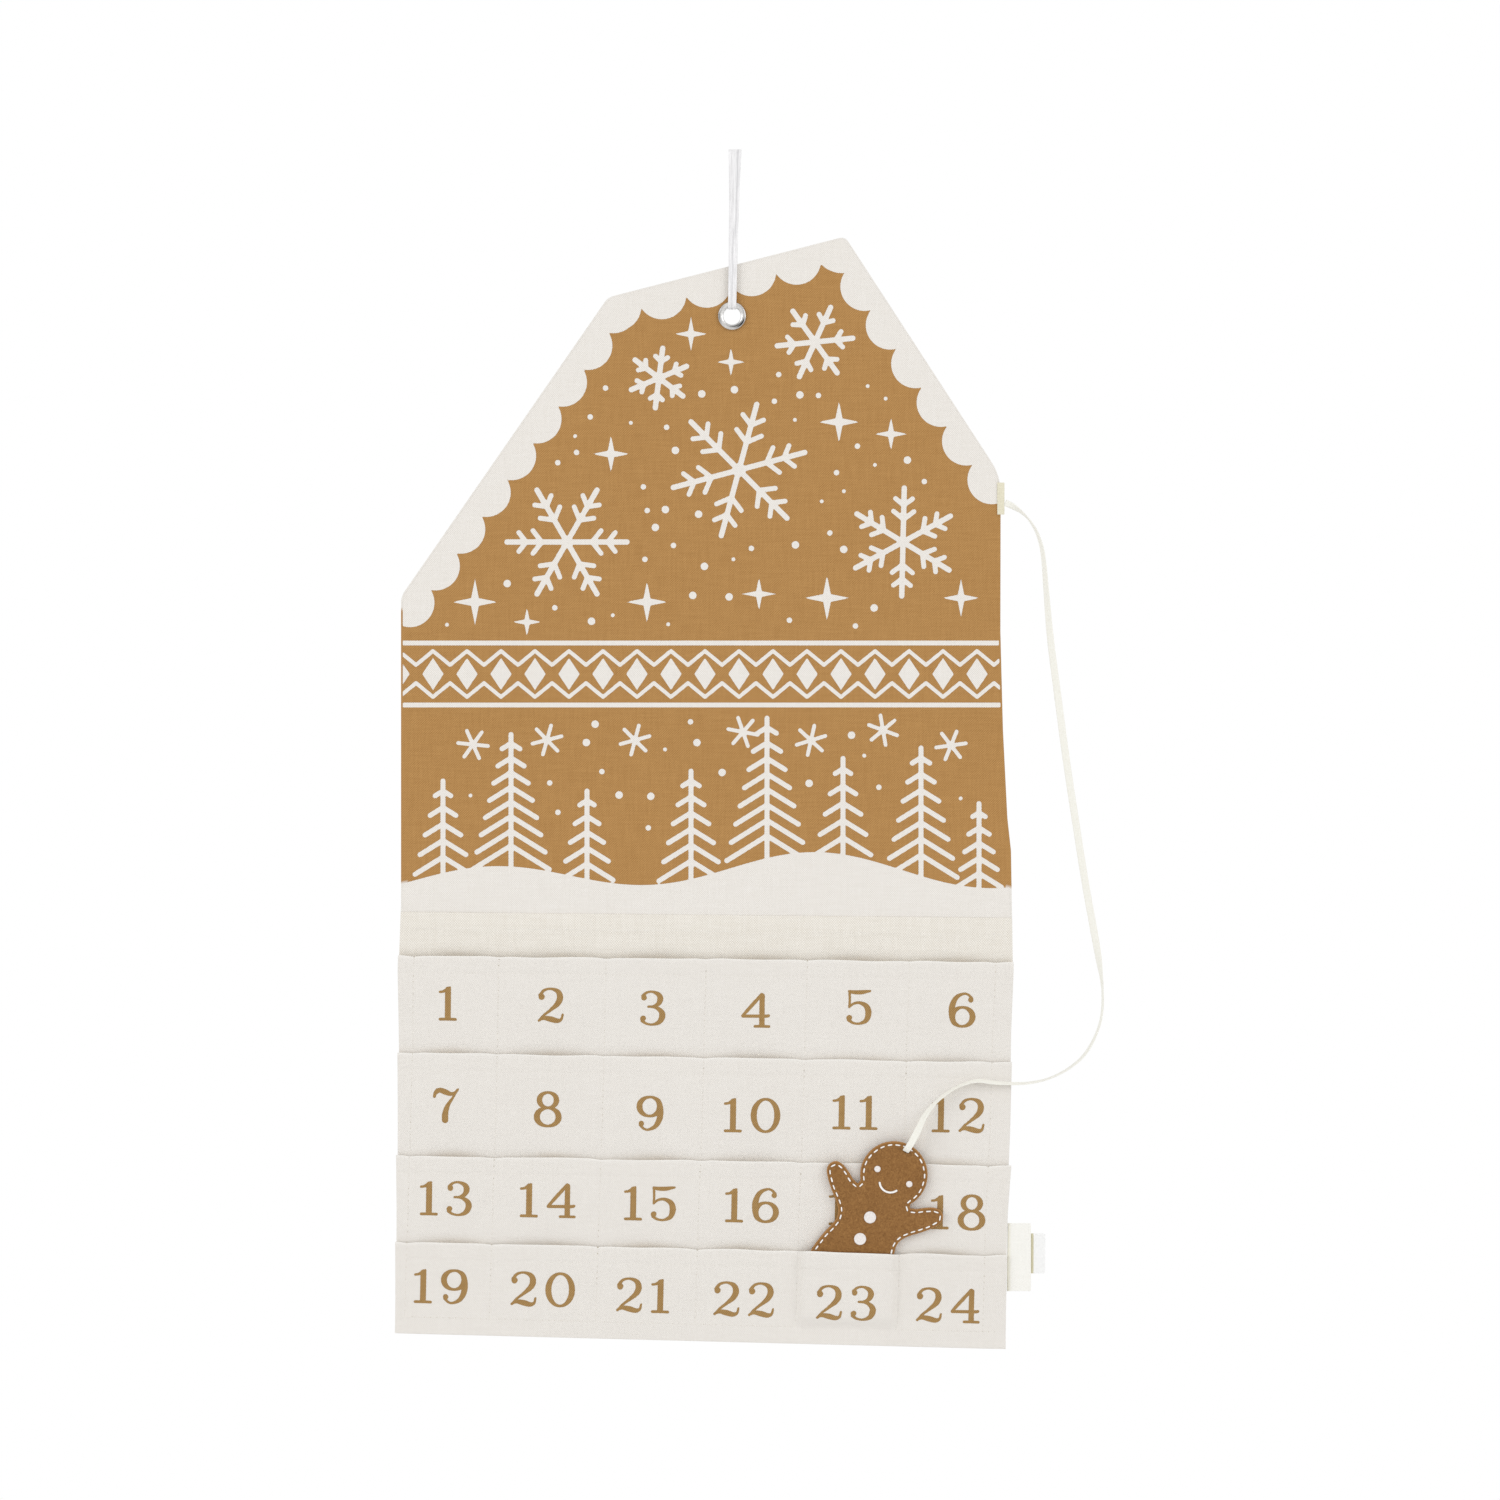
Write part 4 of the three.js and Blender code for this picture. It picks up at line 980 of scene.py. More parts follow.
BARREL_END = 2.18
BARREL_OUTSIDE = 4.75
FLANGE_Y, FLANGE_RISE = -0.32, 1.2
half_breadth = (EYELET_RADIUS - HOLE_RADIUS) / 2
middle_radius = (EYELET_RADIUS + HOLE_RADIUS) / 2
flange = [(middle_radius - half_breadth * math.cos(a), FLANGE_Y - FLANGE_RISE * math.sin(a) ** 0.75)
          for a in np.linspace(0, np.pi, 29)]
eyelet_ring = turned_ring("eyelet_ring", [
    (HOLE_RADIUS, BARREL_END), (HOLE_RADIUS, 1.0), *flange, (EYELET_RADIUS - 0.25, -0.12),
    (5.2, -0.12), (BARREL_OUTSIDE, -0.2), (BARREL_OUTSIDE, BARREL_END),
], "eyelet")
washer = turned_ring("washer_ring", [
    (5.05, 2.2), (5.05, 1.85), (6.9, 1.85), (7.12, 1.95), (7.15, 2.08), (6.9, 2.19), (6.0, 2.26), (5.3, 2.24),
], "eyelet_washer")
for ring in (eyelet_ring, washer):
    paint_reflections(ring)

# %% [markdown]
# ## The felt figure
# Two layers of brown felt are cut to one outline, sewn together by a white running stitch and
# stand in the pocket, turned a little and leaning forward. The outline is a circle for the head
# and a curve through a table of knots for one side, mirrored for the other.

# %% Figure outline and place
MARKER_HEIGHT = 88.2
HEAD_RADIUS = 16.7
MARKER_TURN = math.radians(25.5)
HEAD_X, HEAD_Z = 79.35, -512.05
NECK_ANGLE = -35.5
SIDE_KNOTS = MARKER_HEIGHT * np.array([
    (0.163, -0.134), (0.199, -0.122), (0.244, -0.093), (0.289, -0.072), (0.329, -0.072),
    (0.355, -0.1), (0.354, -0.136), (0.326, -0.179), (0.279, -0.229), (0.232, -0.272),
    (0.199, -0.312), (0.186, -0.357), (0.194, -0.405), (0.211, -0.455), (0.227, -0.52),
    (0.238, -0.59), (0.238, -0.65), (0.226, -0.71), (0.201, -0.767), (0.162, -0.804),
    (0.117, -0.8), (0.09, -0.757), (0.073, -0.686), (0.045, -0.624), (0, -0.595),
])


def figure_outline(count):
    """The whole outline, clockwise from the top of the head, at even steps."""
    turn = np.linspace(np.pi / 2, math.radians(NECK_ANGLE), 40)
    head = HEAD_RADIUS * np.stack([np.cos(turn), np.sin(turn)], -1)
    side = smooth_path(np.column_stack([SIDE_KNOTS, 0 * SIDE_KNOTS[:, 0]]), 160)[:, :2]
    half = np.concatenate([head, side])
    loop = np.concatenate([half, half[1:-1][::-1] * (-1, 1), half[:1]])
    steps = lengths_along(loop)
    return rows_at(np.linspace(0, steps[-1], count, endpoint=False), steps, loop)


def inset(loop, distance):
    """A closed clockwise loop moved inwards, square to the line through each point's neighbours."""
    along = unit(np.roll(loop, -1, axis=0) - np.roll(loop, 1, axis=0))
    return loop + distance * np.stack([along[:, 1], -along[:, 0]], -1)


def place_on_figure(flat, y):
    """From the figure's own plane (across, up, and y towards the wall) to its place: turned in
    its plane, leaned forward and moved to the pocket."""
    x = flat[..., 0] * math.cos(MARKER_TURN) + flat[..., 1] * math.sin(MARKER_TURN)
    up = flat[..., 1] * math.cos(MARKER_TURN) - flat[..., 0] * math.sin(MARKER_TURN)
    lean = math.atan(MARKER_LEAN)
    back_y = -MARKER_STAND_OFF - MARKER_LEAN * (HEAD_Z - MARKER_MOUTH)
    return np.stack([
        HEAD_X + x,
        back_y + y * math.cos(lean) - up * math.sin(lean),
        HEAD_Z + y * math.sin(lean) + up * math.cos(lean),
    ], -1)


# %% Felt
FIBRES = {"Scale": 820.0, "Detail": 4.0, "Roughness": 0.62, "Distortion": 1.1}
felt = Recipe("brown_felt", roughness=0.95, specular=0.1, sheen=0.25)
tangle = felt.node("ShaderNodeTexNoise", {"Vector": felt.coordinates, **FIBRES}).outputs["Fac"]
both = felt.math("ADD", felt.math("MULTIPLY", tangle, 0.65), felt.math("MULTIPLY", felt.noise(2600, 2), 0.35))
dark_felt = linear(124, 85, 45)
felt_colour = felt.mottled(both, 0.36, 0.64, dark_felt, linear(163, 119, 69))
felt_colour = felt.mix(felt.spread(felt.noise(90, 3), 0.35, 0.75, 0, 0.3), felt_colour, dark_felt)
felt.colour(felt.mix(felt.mark("cut"), felt_colour, linear(180, 128, 68)))
felt.bump(both, 0.0006, 0.7)

OUTLINE_POINTS = 420
EDGE_BULGE = 0.45
SLIT_UP = 13.4
SLIT_TILT = math.radians(-6)


def slit_loop(count=28):
    """A narrow slot with round ends near the top of the head, square to the tape's last bend."""
    turn = np.linspace(0, 2 * np.pi, count, endpoint=False)
    across = np.clip(2.1 * np.cos(turn), -1.15, 1.15) + 0.5 * np.cos(turn) * (np.abs(np.cos(turn)) > 0.55)
    along = 0.66 * np.sin(turn)
    return np.stack([across * math.cos(SLIT_TILT) - along * math.sin(SLIT_TILT),
                     SLIT_UP + across * math.sin(SLIT_TILT) + along * math.cos(SLIT_TILT)], -1)


def flat_faces(loops, numbers, front):
    """Triangles between an outline and its holes, wound so that they face front or back."""
    points = np.concatenate(loops)
    faces = []
    for triangle in tessellate_polygon([[Vector((x, up, 0)) for x, up in loop] for loop in loops]):
        a, b, c = points[list(triangle)]
        turned = (b[0] - a[0]) * (c[1] - a[1]) - (b[1] - a[1]) * (c[0] - a[0]) > 0
        corners = [numbers[k] for k in triangle]
        faces.append(corners if turned == front else corners[::-1])
    return faces


def felt_layer(name, y_front, y_back, grow, node, slit=None):
    """An outline whose edge is carried round a half ellipse from back to front, closed on each
    side by flat triangles. A slit goes through both flat sides and gets walls of its own."""
    loop = figure_outline(OUTLINE_POINTS)
    turn = np.linspace(-np.pi / 2, np.pi / 2, 9)
    middle, half = (y_front + y_back) / 2, (y_back - y_front) / 2
    flats = [inset(loop, EDGE_BULGE * (1 - math.cos(a)) - grow) for a in turn]
    rings = [place_on_figure(flat, middle - half * math.sin(a)) for flat, a in zip(flats, turn)]
    index = ring_index(len(turn), len(loop))
    faces = grid_quads(index).tolist()
    sides = [([flats[end]], index[end, :-1].tolist()) for end in (0, -1)]
    if slit is not None:
        walls = ring_index(2, len(slit), index.max() + 1)
        rings += [place_on_figure(slit, y_back), place_on_figure(slit, y_front)]
        for (loops, numbers), wall in zip(sides, walls):
            loops.append(slit)
            numbers += wall[:-1].tolist()
    for front, (loops, numbers) in enumerate(sides):
        faces += flat_faces(loops, numbers, bool(front))
    if slit is not None:
        faces += grid_quads(walls).tolist()
    points = np.concatenate(rings)
    layer = add_piece(name, points, faces, "marker", felt.material, node)
    cut = np.repeat(np.cos(turn) ** 0.5 * 0.85, len(loop))
    mark_points(layer, "cut", np.concatenate([cut, np.zeros(len(points) - len(cut))]))
    return layer


back_felt = felt_layer("felt_back", -1.1, 0.0, 0.15, "marker_back_felt")
front_felt = felt_layer("felt_front", -2.3, -1.15, 0.0, "marker_front_felt", slit_loop())

# %% [markdown]
# ## The labels
# Two plain labels are caught in the right-hand seam: a cream cotton one and a narrow white tab
# behind it. Both are bare of print; a yellowish painted shade lies at the label's left and on the tab beside
# the label's edge.

# %% Labels
LABEL_X = 136.0
LABEL_RIGHT, TAB_RIGHT = 148.0, 155.2
LABEL_LOW, LABEL_HIGH = -570.6, -536.6
TAB_LOW, TAB_HIGH = -561.8, -541.8
LABEL_GAP, TAB_GAP = 0.42, 0.95


def past_the_edge(gap):
    """A label's left edge x(z), a small gap past the panel's edge, so that it folds clear."""
    return lambda z: right_edge_x(z) + gap


def label_shell(left, right, low, high, face, thickness, roundness, columns=40, rows=50, corner=0.0):
    """A flat piece of cloth from a left edge x(z) to a straight right edge, whose corners are
    quarter circles."""
    u = with_edges(0, 1, columns, roundness / (right - left(low)))
    share, z = np.meshgrid(u, with_edges(low, high, rows, roundness))
    past = np.clip(corner - np.minimum(z - low, high - z), 0, corner)
    limit = right - corner + np.sqrt(corner**2 - past**2)
    start = left(z)
    x = start + (limit - start) * share
    return cloth_shell(x, face(x, z), z, nearest_side(x, z, start, limit, low, high), thickness, roundness)


def label_face(x, z):
    """Nearly flat, a little crowned, with a narrow ridge along the fold at its right edge."""
    fold = 0.16 * bell(x - LABEL_RIGHT + 0.7, 0.4)
    return 0.1 + 0.1 * np.sin((x - LABEL_X) / 12 * np.pi) - fold + 0.06 * ripple(x, z, 20, 31)


def tab_face(x, z):
    return 0.9 + 0.05 * ripple(x, z, 14, 37)


# The second pair of colours on each label is a yellowish painted shade.
label_cloth = woven("label_cloth", linear(251, 250, 246), linear(238, 236, 228), 0.0007, 0.0006, blotch=0,
                    bare_and_painted_light=(linear(236, 231, 205), linear(222, 215, 186)))
label_satin = woven("label_satin", linear(252, 252, 251), linear(243, 243, 242), 0.0004, 0.0003, blotch=0,
                    bare_and_painted_light=(linear(226, 220, 190), linear(204, 197, 164)))
points, faces = label_shell(past_the_edge(LABEL_GAP), LABEL_RIGHT, LABEL_LOW, LABEL_HIGH, label_face,
                            0.5, 0.3, corner=0.7)
side_label = add_piece("cream_label", points, faces, "labels", label_cloth, "side_label")
# Painted shade on the label's left, where it turns into the seam.
mark_points(side_label, "bare_and_painted_light", 0.75 * np.clip(1 - (points[:, 0] - LABEL_X) / 2.2, 0, 1))
points, faces = label_shell(past_the_edge(TAB_GAP), TAB_RIGHT, TAB_LOW, TAB_HIGH, tab_face,
                            0.3, 0.2, 60, 50, corner=1.3)
tab = add_piece("white_tab", points, faces, "labels", label_satin, "care_tab")
# Painted shade on the tab, in a strip beside the label's right edge.
mark_points(tab, "bare_and_painted_light", np.abs(points[:, 0] - LABEL_RIGHT - 0.4) < 0.9)

# %% [markdown]
# ## Stitches
# Sewing thread shows as a row of short stitches, each a small round-ended bead, with a needle
# hole between one and the next, shown as a dark dot of painted shade. One bead of a few faces is copied to
# every place as arrays, and an attribute tells the finish which points are thread (0) and which are painted
# hole shade (1).

# %% Bead helpers
BEAD_STATIONS = np.array([-0.5, -0.44, -0.3, 0.3, 0.44, 0.5])
BEAD_RADII = np.array([0.12, 0.68, 1, 1, 0.68, 0.12])
HOLE_SHADE_DOT_HEIGHT = 0.12
CROSSING_ROOM = 1.7


def bead_shape(segments):
    """A unit capsule along its first axis: circles whose radius follows a quarter ellipse at
    each end. Returns points (along -0.5..0.5, sideways, outwards) and faces."""
    turn = np.linspace(0, 2 * np.pi, segments, endpoint=False)
    ring = np.stack([np.cos(turn), np.sin(turn)], -1) / 2
    circles = BEAD_RADII[:, None, None] * ring
    stations = np.broadcast_to(BEAD_STATIONS[:, None, None], (*circles.shape[:2], 1))
    return capped_tube(np.concatenate([stations, circles], -1))


def copies(shape, places, alongs, outs, lengths, widths, heights):
    """The shape at every place: its axes laid along the thread, sideways and outwards."""
    points, faces = shape
    sideways = np.cross(outs, alongs)
    all_points = (
        places[:, None]
        + points[None, :, :1] * (alongs * lengths[:, None])[:, None]
        + points[None, :, 1:2] * (sideways * widths[:, None])[:, None]
        + points[None, :, 2:3] * (outs * heights[:, None])[:, None]
    )
    starts = np.arange(len(places)) * len(points)
    all_faces = [[start + k for k in face] for start in starts for face in faces]
    return all_points.reshape(-1, 3), all_faces


BEAD, HOLE_SHADE_DOT = bead_shape(8), bead_shape(6)


def stitched_line(name, line, pitch, bead, body, material, stands_for, seed, hole=0.0,
                  out=(0.0, -1.0, 0.0), jitter=0.06, clear_of=()):
    """A row of beads (length, width, height) at even steps along a line, sunk a third into the
    cloth, with dark dots of painted shade for the needle holes between them. None is laid close to the
    heights it is kept clear of."""
    rng = np.random.default_rng(seed)
    steps = lengths_along(line)
    at = np.arange(pitch / 2, steps[-1] - pitch / 4, pitch)
    places = rows_at(at, steps, line)
    alongs = unit(rows_at(at, steps, np.gradient(line, axis=0) / np.gradient(steps)[:, None]))
    for height in clear_of:
        kept = np.abs(places[:, 2] - height) > CROSSING_ROOM
        places, alongs = places[kept], alongs[kept]
    count = len(places)
    outs = np.broadcast_to(np.array(out), (count, 3))
    outs = unit(outs - alongs * np.sum(outs * alongs, axis=1, keepdims=True))
    shift = rng.normal(0, jitter, (count, 1)) * np.cross(outs, alongs)
    lengths = bead[0] * rng.uniform(0.94, 1.06, count)
    widths = bead[1] * rng.uniform(0.9, 1.1, count)
    points, faces = copies(BEAD, places + shift, alongs, outs, lengths, widths, np.full(count, bead[2]))
    marks = np.zeros(len(points))
    # Dark dots of painted shade for the needle holes.
    if hole:
        between = places + alongs * pitch / 2 - outs * 0.02
        hole_lengths = hole * rng.uniform(0.8, 1.25, count)
        hole_widths = hole * rng.uniform(0.8, 1.2, count)
        hole_depths = np.full(count, HOLE_SHADE_DOT_HEIGHT)
        spots, spot_faces = copies(HOLE_SHADE_DOT, between, alongs, outs, hole_lengths, hole_widths, hole_depths)
        faces = faces + [[len(points) + k for k in face] for face in spot_faces]
        points = np.concatenate([points, spots])
        marks = np.concatenate([marks, np.ones(len(spots))])
    piece = add_piece(name, points, faces, body, material, stands_for)
    mark_points(piece, "hole", marks)
    return piece


def thread(name, light, dark, hole):
    """Fine fibres, and a darker colour, painted shade, where the points are marked as needle holes, in
    patches of varying strength.
    """
    recipe = Recipe(name, roughness=0.8, specular=0.2, sheen=0.1)
    fibres = recipe.noise(3000, 2)
    hole_shade_patches = recipe.spread(recipe.noise(38, 2), 0.38, 0.66, 0.25, 1.0)
    marked = recipe.math("MULTIPLY", recipe.mark("hole"), hole_shade_patches)
    recipe.colour(recipe.mix(marked, recipe.mottled(fibres, 0.3, 0.7, dark, light), hole))
    recipe.bump(fibres, 0.00005, 0.4)
    return recipe.material


# The third colour of each thread is the painted shade of its needle holes.
seam_thread = thread("seam_thread", linear(238, 234, 228), linear(222, 217, 209), linear(142, 125, 88))
white_thread = thread("white_thread", linear(254, 253, 251), linear(240, 238, 234), linear(110, 78, 42))

# %% Seams down and across the pockets
STITCH_PITCH = 3.1
SEAM_BEAD, CROSS_BEAD, HEM_BEAD = (2.5, 0.36, 0.2), (2.6, 0.36, 0.2), (2.6, 0.3, 0.1)
BAND_FRONT = -0.42


def strip_row_at(z, share):
    """The strip that shows at a height: the lowest one whose mouth lies above it."""
    mouths = np.stack([mouth_line(row, share) for row in range(4)], -1)
    return np.clip((mouths > z[..., None]).sum(-1) - 1, 0, 3)


def front_of_strips(share, z):
    """The front of whichever strip shows at each point."""
    faces_by_row = np.stack([strip_face(k, share, z) for k in range(4)], -1)
    return np.take_along_axis(faces_by_row, strip_row_at(z, share)[..., None], -1)[..., 0]


def panel_stitches(name, share, z, front, bead, stands_for, seed, **options):
    line = np.stack([cloth_x(share, z), front, z], -1)
    return stitched_line(name, line, STITCH_PITCH, bead, "panel", seam_thread, stands_for, seed, **options)


def soften_hole_shade(piece, seam):
    """Makes the painted shade of a seam's needle holes darkest just below each mouth."""
    height = points_of(piece)[:, 2]
    marks = np.empty(len(height), np.float32)
    piece.data.attributes["hole"].data.foreach_get("value", marks)
    mouths = np.array([mouth_line(k, seam) for k in range(4)])
    below = mouths[strip_row_at(height, np.full_like(height, seam))] - height
    softened = marks * (0.5 + 0.35 * np.exp(-below / 9))
    piece.data.attributes["hole"].data.foreach_set("value", softened.astype(np.float32))


for number, seam in enumerate(SEAMS, 1):
    z = np.linspace(bottom_line(seam) + BOTTOM_STITCH, mouth_line(0, seam) - 0.6, 400)
    share = np.full_like(z, seam)
    mouths = [float(mouth_line(k, seam)) for k in range(4)]
    stitches = panel_stitches(f"seam_stitches_{number}", share, z, front_of_strips(share, z), SEAM_BEAD,
                              f"column_seam_{number}", 39 + number, hole=0.54, clear_of=mouths)
    soften_hole_shade(stitches, seam)

cross_share = np.linspace(0.012, 0.988, 500)
for row in range(4):
    z = mouth_line(row, cross_share) - HEM_DEPTH
    front = strip_face(row, cross_share, z)
    panel_stitches(f"hem_stitches_{row + 1}", cross_share, z, front, HEM_BEAD,
                                       f"hem_seam_{row + 1}", 50 + row)

z = band_line(cross_share) - BAND_STITCH
band_stitches = panel_stitches("band_stitches", cross_share, z, np.full_like(z, BAND_FRONT), CROSS_BEAD,
                               "backing_top_seam", 60, hole=0.3)
z = bottom_line(cross_share) + BOTTOM_STITCH
bottom_stitches = panel_stitches("bottom_stitches", cross_share, z, strip_face(3, cross_share, z), CROSS_BEAD,
                                 "bottom_seam", 61, hole=0.3)

# %% [markdown]
# ## Printed shapes
# Numbers and motifs are drawn as signed distances: each point of a fine grid gets its distance
# to the nearest stroke, less the stroke's half width, so it is negative inside. The part of the
# grid below zero is cut out along that line, cell by cell, and laid on the cloth as a thin film.

# %% Film helpers
FAR = 9.0


def cut_triangles(corners, values):
    """The parts of triangles where the value, taken as linear, is below zero: whole triangles,
    single corners, or what is left when a corner is cut off."""
    inside = values < 0
    count = inside.sum(1)
    parts = [corners[count == 3]]

    def crossing(points, amounts, a, b):
        share = (amounts[:, a] / (amounts[:, a] - amounts[:, b]))[:, None]
        return points[:, a] + (points[:, b] - points[:, a]) * share

    for a in range(3):
        b, c = (a + 1) % 3, (a + 2) % 3
        one = (count == 1) & inside[:, a]
        points, amounts = corners[one], values[one]
        to_b, to_c = crossing(points, amounts, a, b), crossing(points, amounts, a, c)
        parts.append(np.stack([points[:, a], to_b, to_c], 1))
        two = (count == 2) & ~inside[:, a]
        points, amounts = corners[two], values[two]
        to_b, to_c = crossing(points, amounts, a, b), crossing(points, amounts, a, c)
        parts.append(np.stack([to_b, points[:, b], points[:, c]], 1))
        parts.append(np.stack([to_b, points[:, c], to_c], 1))
    return np.concatenate(parts)


def film_faces(x, z, field, block=4):
    """Flat triangles and quads (arrays of x, z corners) that cover the field's negative part:
    whole blocks of cells as one quad, and single cells cut along the zero line."""
    rows, columns = (field.shape[0] - 1) // block * block, (field.shape[1] - 1) // block * block
    field = field[:rows + 1, :columns + 1]
    inside = field < 0
    low, right, up, far = inside[:-1, :-1], inside[:-1, 1:], inside[1:, :-1], inside[1:, 1:]
    blocks = (low & right & up & far).reshape(rows // block, block, columns // block, block).all((1, 3))

    def corners(r, c, size, steps):
        """The corners of cells, and the field there, at steps (up, right) of the cell's size."""
        places = [(r + size * up, c + size * right) for up, right in steps]
        spots = [np.stack([x[column], z[row]], -1) for row, column in places]
        return np.stack(spots, 1), np.stack([field[place] for place in places], 1)

    quads, _ = corners(*(np.array(np.nonzero(blocks)) * block), block, ((0, 0), (0, 1), (1, 1), (1, 0)))
    covered = np.repeat(np.repeat(blocks, block, 0), block, 1)
    r, c = np.nonzero((low | right | up | far) & ~covered)
    halves = [corners(r, c, 1, steps) for steps in (((0, 0), (0, 1), (1, 1)), ((0, 0), (1, 1), (1, 0)))]
    triangles = cut_triangles(*(np.concatenate(part) for part in zip(*halves)))
    area = np.cross(triangles[:, 1] - triangles[:, 0], triangles[:, 2] - triangles[:, 0])
    return quads, triangles[np.abs(area) > 1e-7]


def film_piece(name, patches, surface, material, rise):
    """One mesh of all the patches, with equal corners joined, laid on a surface y(x, z)."""
    quads, triangles = (np.concatenate(part) for part in zip(*patches))
    flat = np.concatenate([quads.reshape(-1, 2), triangles.reshape(-1, 2)])
    unique, index = np.unique(np.round(flat, 4), axis=0, return_inverse=True)
    index = index.ravel()
    faces = index[:quads.size // 2].reshape(-1, 4).tolist() + index[quads.size // 2:].reshape(-1, 3).tolist()
    x, z = unique.T
    return add_piece(name, np.stack([x, surface(x, z) - rise, z], -1), faces, "panel", material, closed=False)


# %% Numbers
THICK, THIN = 0.086, 0.038


def oval(cx, cy, rx, ry, start, end, count=13, thick=THICK, thin=THIN):
    """An oval stroke from one angle to another, thick at its sides and thin at top and foot."""
    turn = np.radians(np.linspace(start, end, count))
    half = thin + (thick - thin) * np.abs(np.cos(turn)) ** 1.6
    return np.stack([cx + rx * np.cos(turn), cy + ry * np.sin(turn), half], -1)


# Each digit: its width, then its strokes as knots (x, y, half width), in digit heights.
DIGITS = {
    "0": (0.80, [oval(0.4, 0.5, 0.325, 0.462, 0, 360, 25)]),
    "1": (0.52, [
        [(0.268, 0.885, 0.084), (0.27, 0.5, 0.084), (0.27, 0.085, 0.084)],
        [(0.316, 0.945, 0.036), (0.22, 0.875, 0.05), (0.13, 0.83, 0.037), (0.045, 0.818, 0.035)],
        [(0.06, 0.042, 0.041), (0.27, 0.045, 0.04), (0.48, 0.042, 0.041)],
    ]),
    "2": (0.78, [
        [(0.13, 0.73, 0.085), (0.14, 0.74, 0.08)],
        [(0.09, 0.78, 0.05), (0.2, 0.92, 0.04), (0.39, 0.965, 0.035), (0.58, 0.89, 0.068),
         (0.64, 0.72, 0.088), (0.57, 0.54, 0.076), (0.38, 0.36, 0.045), (0.19, 0.2, 0.035),
         (0.07, 0.05, 0.03)],
        [(0.06, 0.06, 0.03), (0.2, 0.13, 0.055), (0.4, 0.1, 0.08), (0.57, 0.06, 0.066),
         (0.68, 0.1, 0.04), (0.72, 0.24, 0.03)],
    ]),
    "3": (0.76, [
        [(0.15, 0.79, 0.075), (0.16, 0.8, 0.07)],
        [(0.12, 0.84, 0.05), (0.22, 0.94, 0.035), (0.38, 0.967, 0.035), (0.55, 0.89, 0.066),
         (0.6, 0.76, 0.084), (0.54, 0.62, 0.062), (0.4, 0.55, 0.035), (0.27, 0.54, 0.032)],
        [(0.3, 0.545, 0.032), (0.48, 0.52, 0.045), (0.63, 0.41, 0.074), (0.66, 0.27, 0.088),
         (0.58, 0.11, 0.066), (0.4, 0.035, 0.035), (0.22, 0.06, 0.036), (0.11, 0.14, 0.05)],
        [(0.13, 0.2, 0.078), (0.14, 0.21, 0.075)],
    ]),
    "4": (0.84, [
        [(0.56, 0.95, 0.045), (0.3, 0.64, 0.052), (0.05, 0.34, 0.042)],
        [(0.05, 0.325, 0.044), (0.4, 0.33, 0.046), (0.7, 0.335, 0.046), (0.76, 0.35, 0.04)],
        [(0.575, 0.91, 0.074), (0.575, 0.5, 0.076), (0.578, 0.088, 0.078)],
        [(0.385, 0.04, 0.039), (0.58, 0.042, 0.038), (0.775, 0.04, 0.039)],
    ]),
    "5": (0.78, [
        [(0.12, 0.95, 0.035), (0.25, 0.925, 0.055), (0.45, 0.925, 0.06), (0.6, 0.95, 0.045),
         (0.7, 0.965, 0.03)],
        [(0.13, 0.93, 0.036), (0.14, 0.7, 0.034), (0.13, 0.5, 0.032)],
        [(0.13, 0.5, 0.032), (0.25, 0.6, 0.036), (0.42, 0.625, 0.045), (0.6, 0.53, 0.074),
         (0.66, 0.34, 0.088), (0.6, 0.13, 0.066), (0.42, 0.035, 0.036), (0.24, 0.05, 0.036),
         (0.12, 0.13, 0.05)],
        [(0.13, 0.19, 0.078), (0.14, 0.2, 0.075)],
    ]),
    "6": (0.78, [
        [(0.62, 0.79, 0.072), (0.61, 0.8, 0.07)],
        [(0.64, 0.84, 0.045), (0.55, 0.94, 0.034), (0.42, 0.967, 0.036), (0.23, 0.87, 0.062),
         (0.12, 0.66, 0.082), (0.1, 0.42, 0.088), (0.15, 0.17, 0.072), (0.28, 0.06, 0.045),
         (0.4, 0.035, 0.035)],
        oval(0.395, 0.31, 0.28, 0.27, -90, 175, 15, 0.084),
    ]),
    "7": (0.76, [
        [(0.055, 0.745, 0.042), (0.08, 0.85, 0.05), (0.13, 0.94, 0.042)],
        [(0.08, 0.84, 0.045), (0.2, 0.925, 0.068), (0.36, 0.875, 0.078), (0.5, 0.825, 0.055),
         (0.62, 0.86, 0.042), (0.7, 0.955, 0.033)],
        [(0.68, 0.93, 0.03), (0.55, 0.7, 0.036), (0.42, 0.48, 0.062), (0.36, 0.25, 0.086),
         (0.36, 0.08, 0.09)],
    ]),
    "8": (0.80, [
        oval(0.4, 0.76, 0.235, 0.218, 0, 360, 19, 0.078, 0.038),
        oval(0.4, 0.28, 0.3, 0.258, 0, 360, 21, 0.086, 0.038),
    ]),
}
six_width, six_strokes = DIGITS["6"]
DIGITS["9"] = (six_width, [[(six_width - x, 1 - y, w) for x, y, w in stroke] for stroke in six_strokes])

DIGIT_HEIGHT = 17.6
DIGIT_STRETCH = 1.03
DIGIT_GAP = 4.3
STROKE_STEPS = 26
INK_GRID = 0.3
INK_RISE, PRINT_RISE = 0.06, 0.05


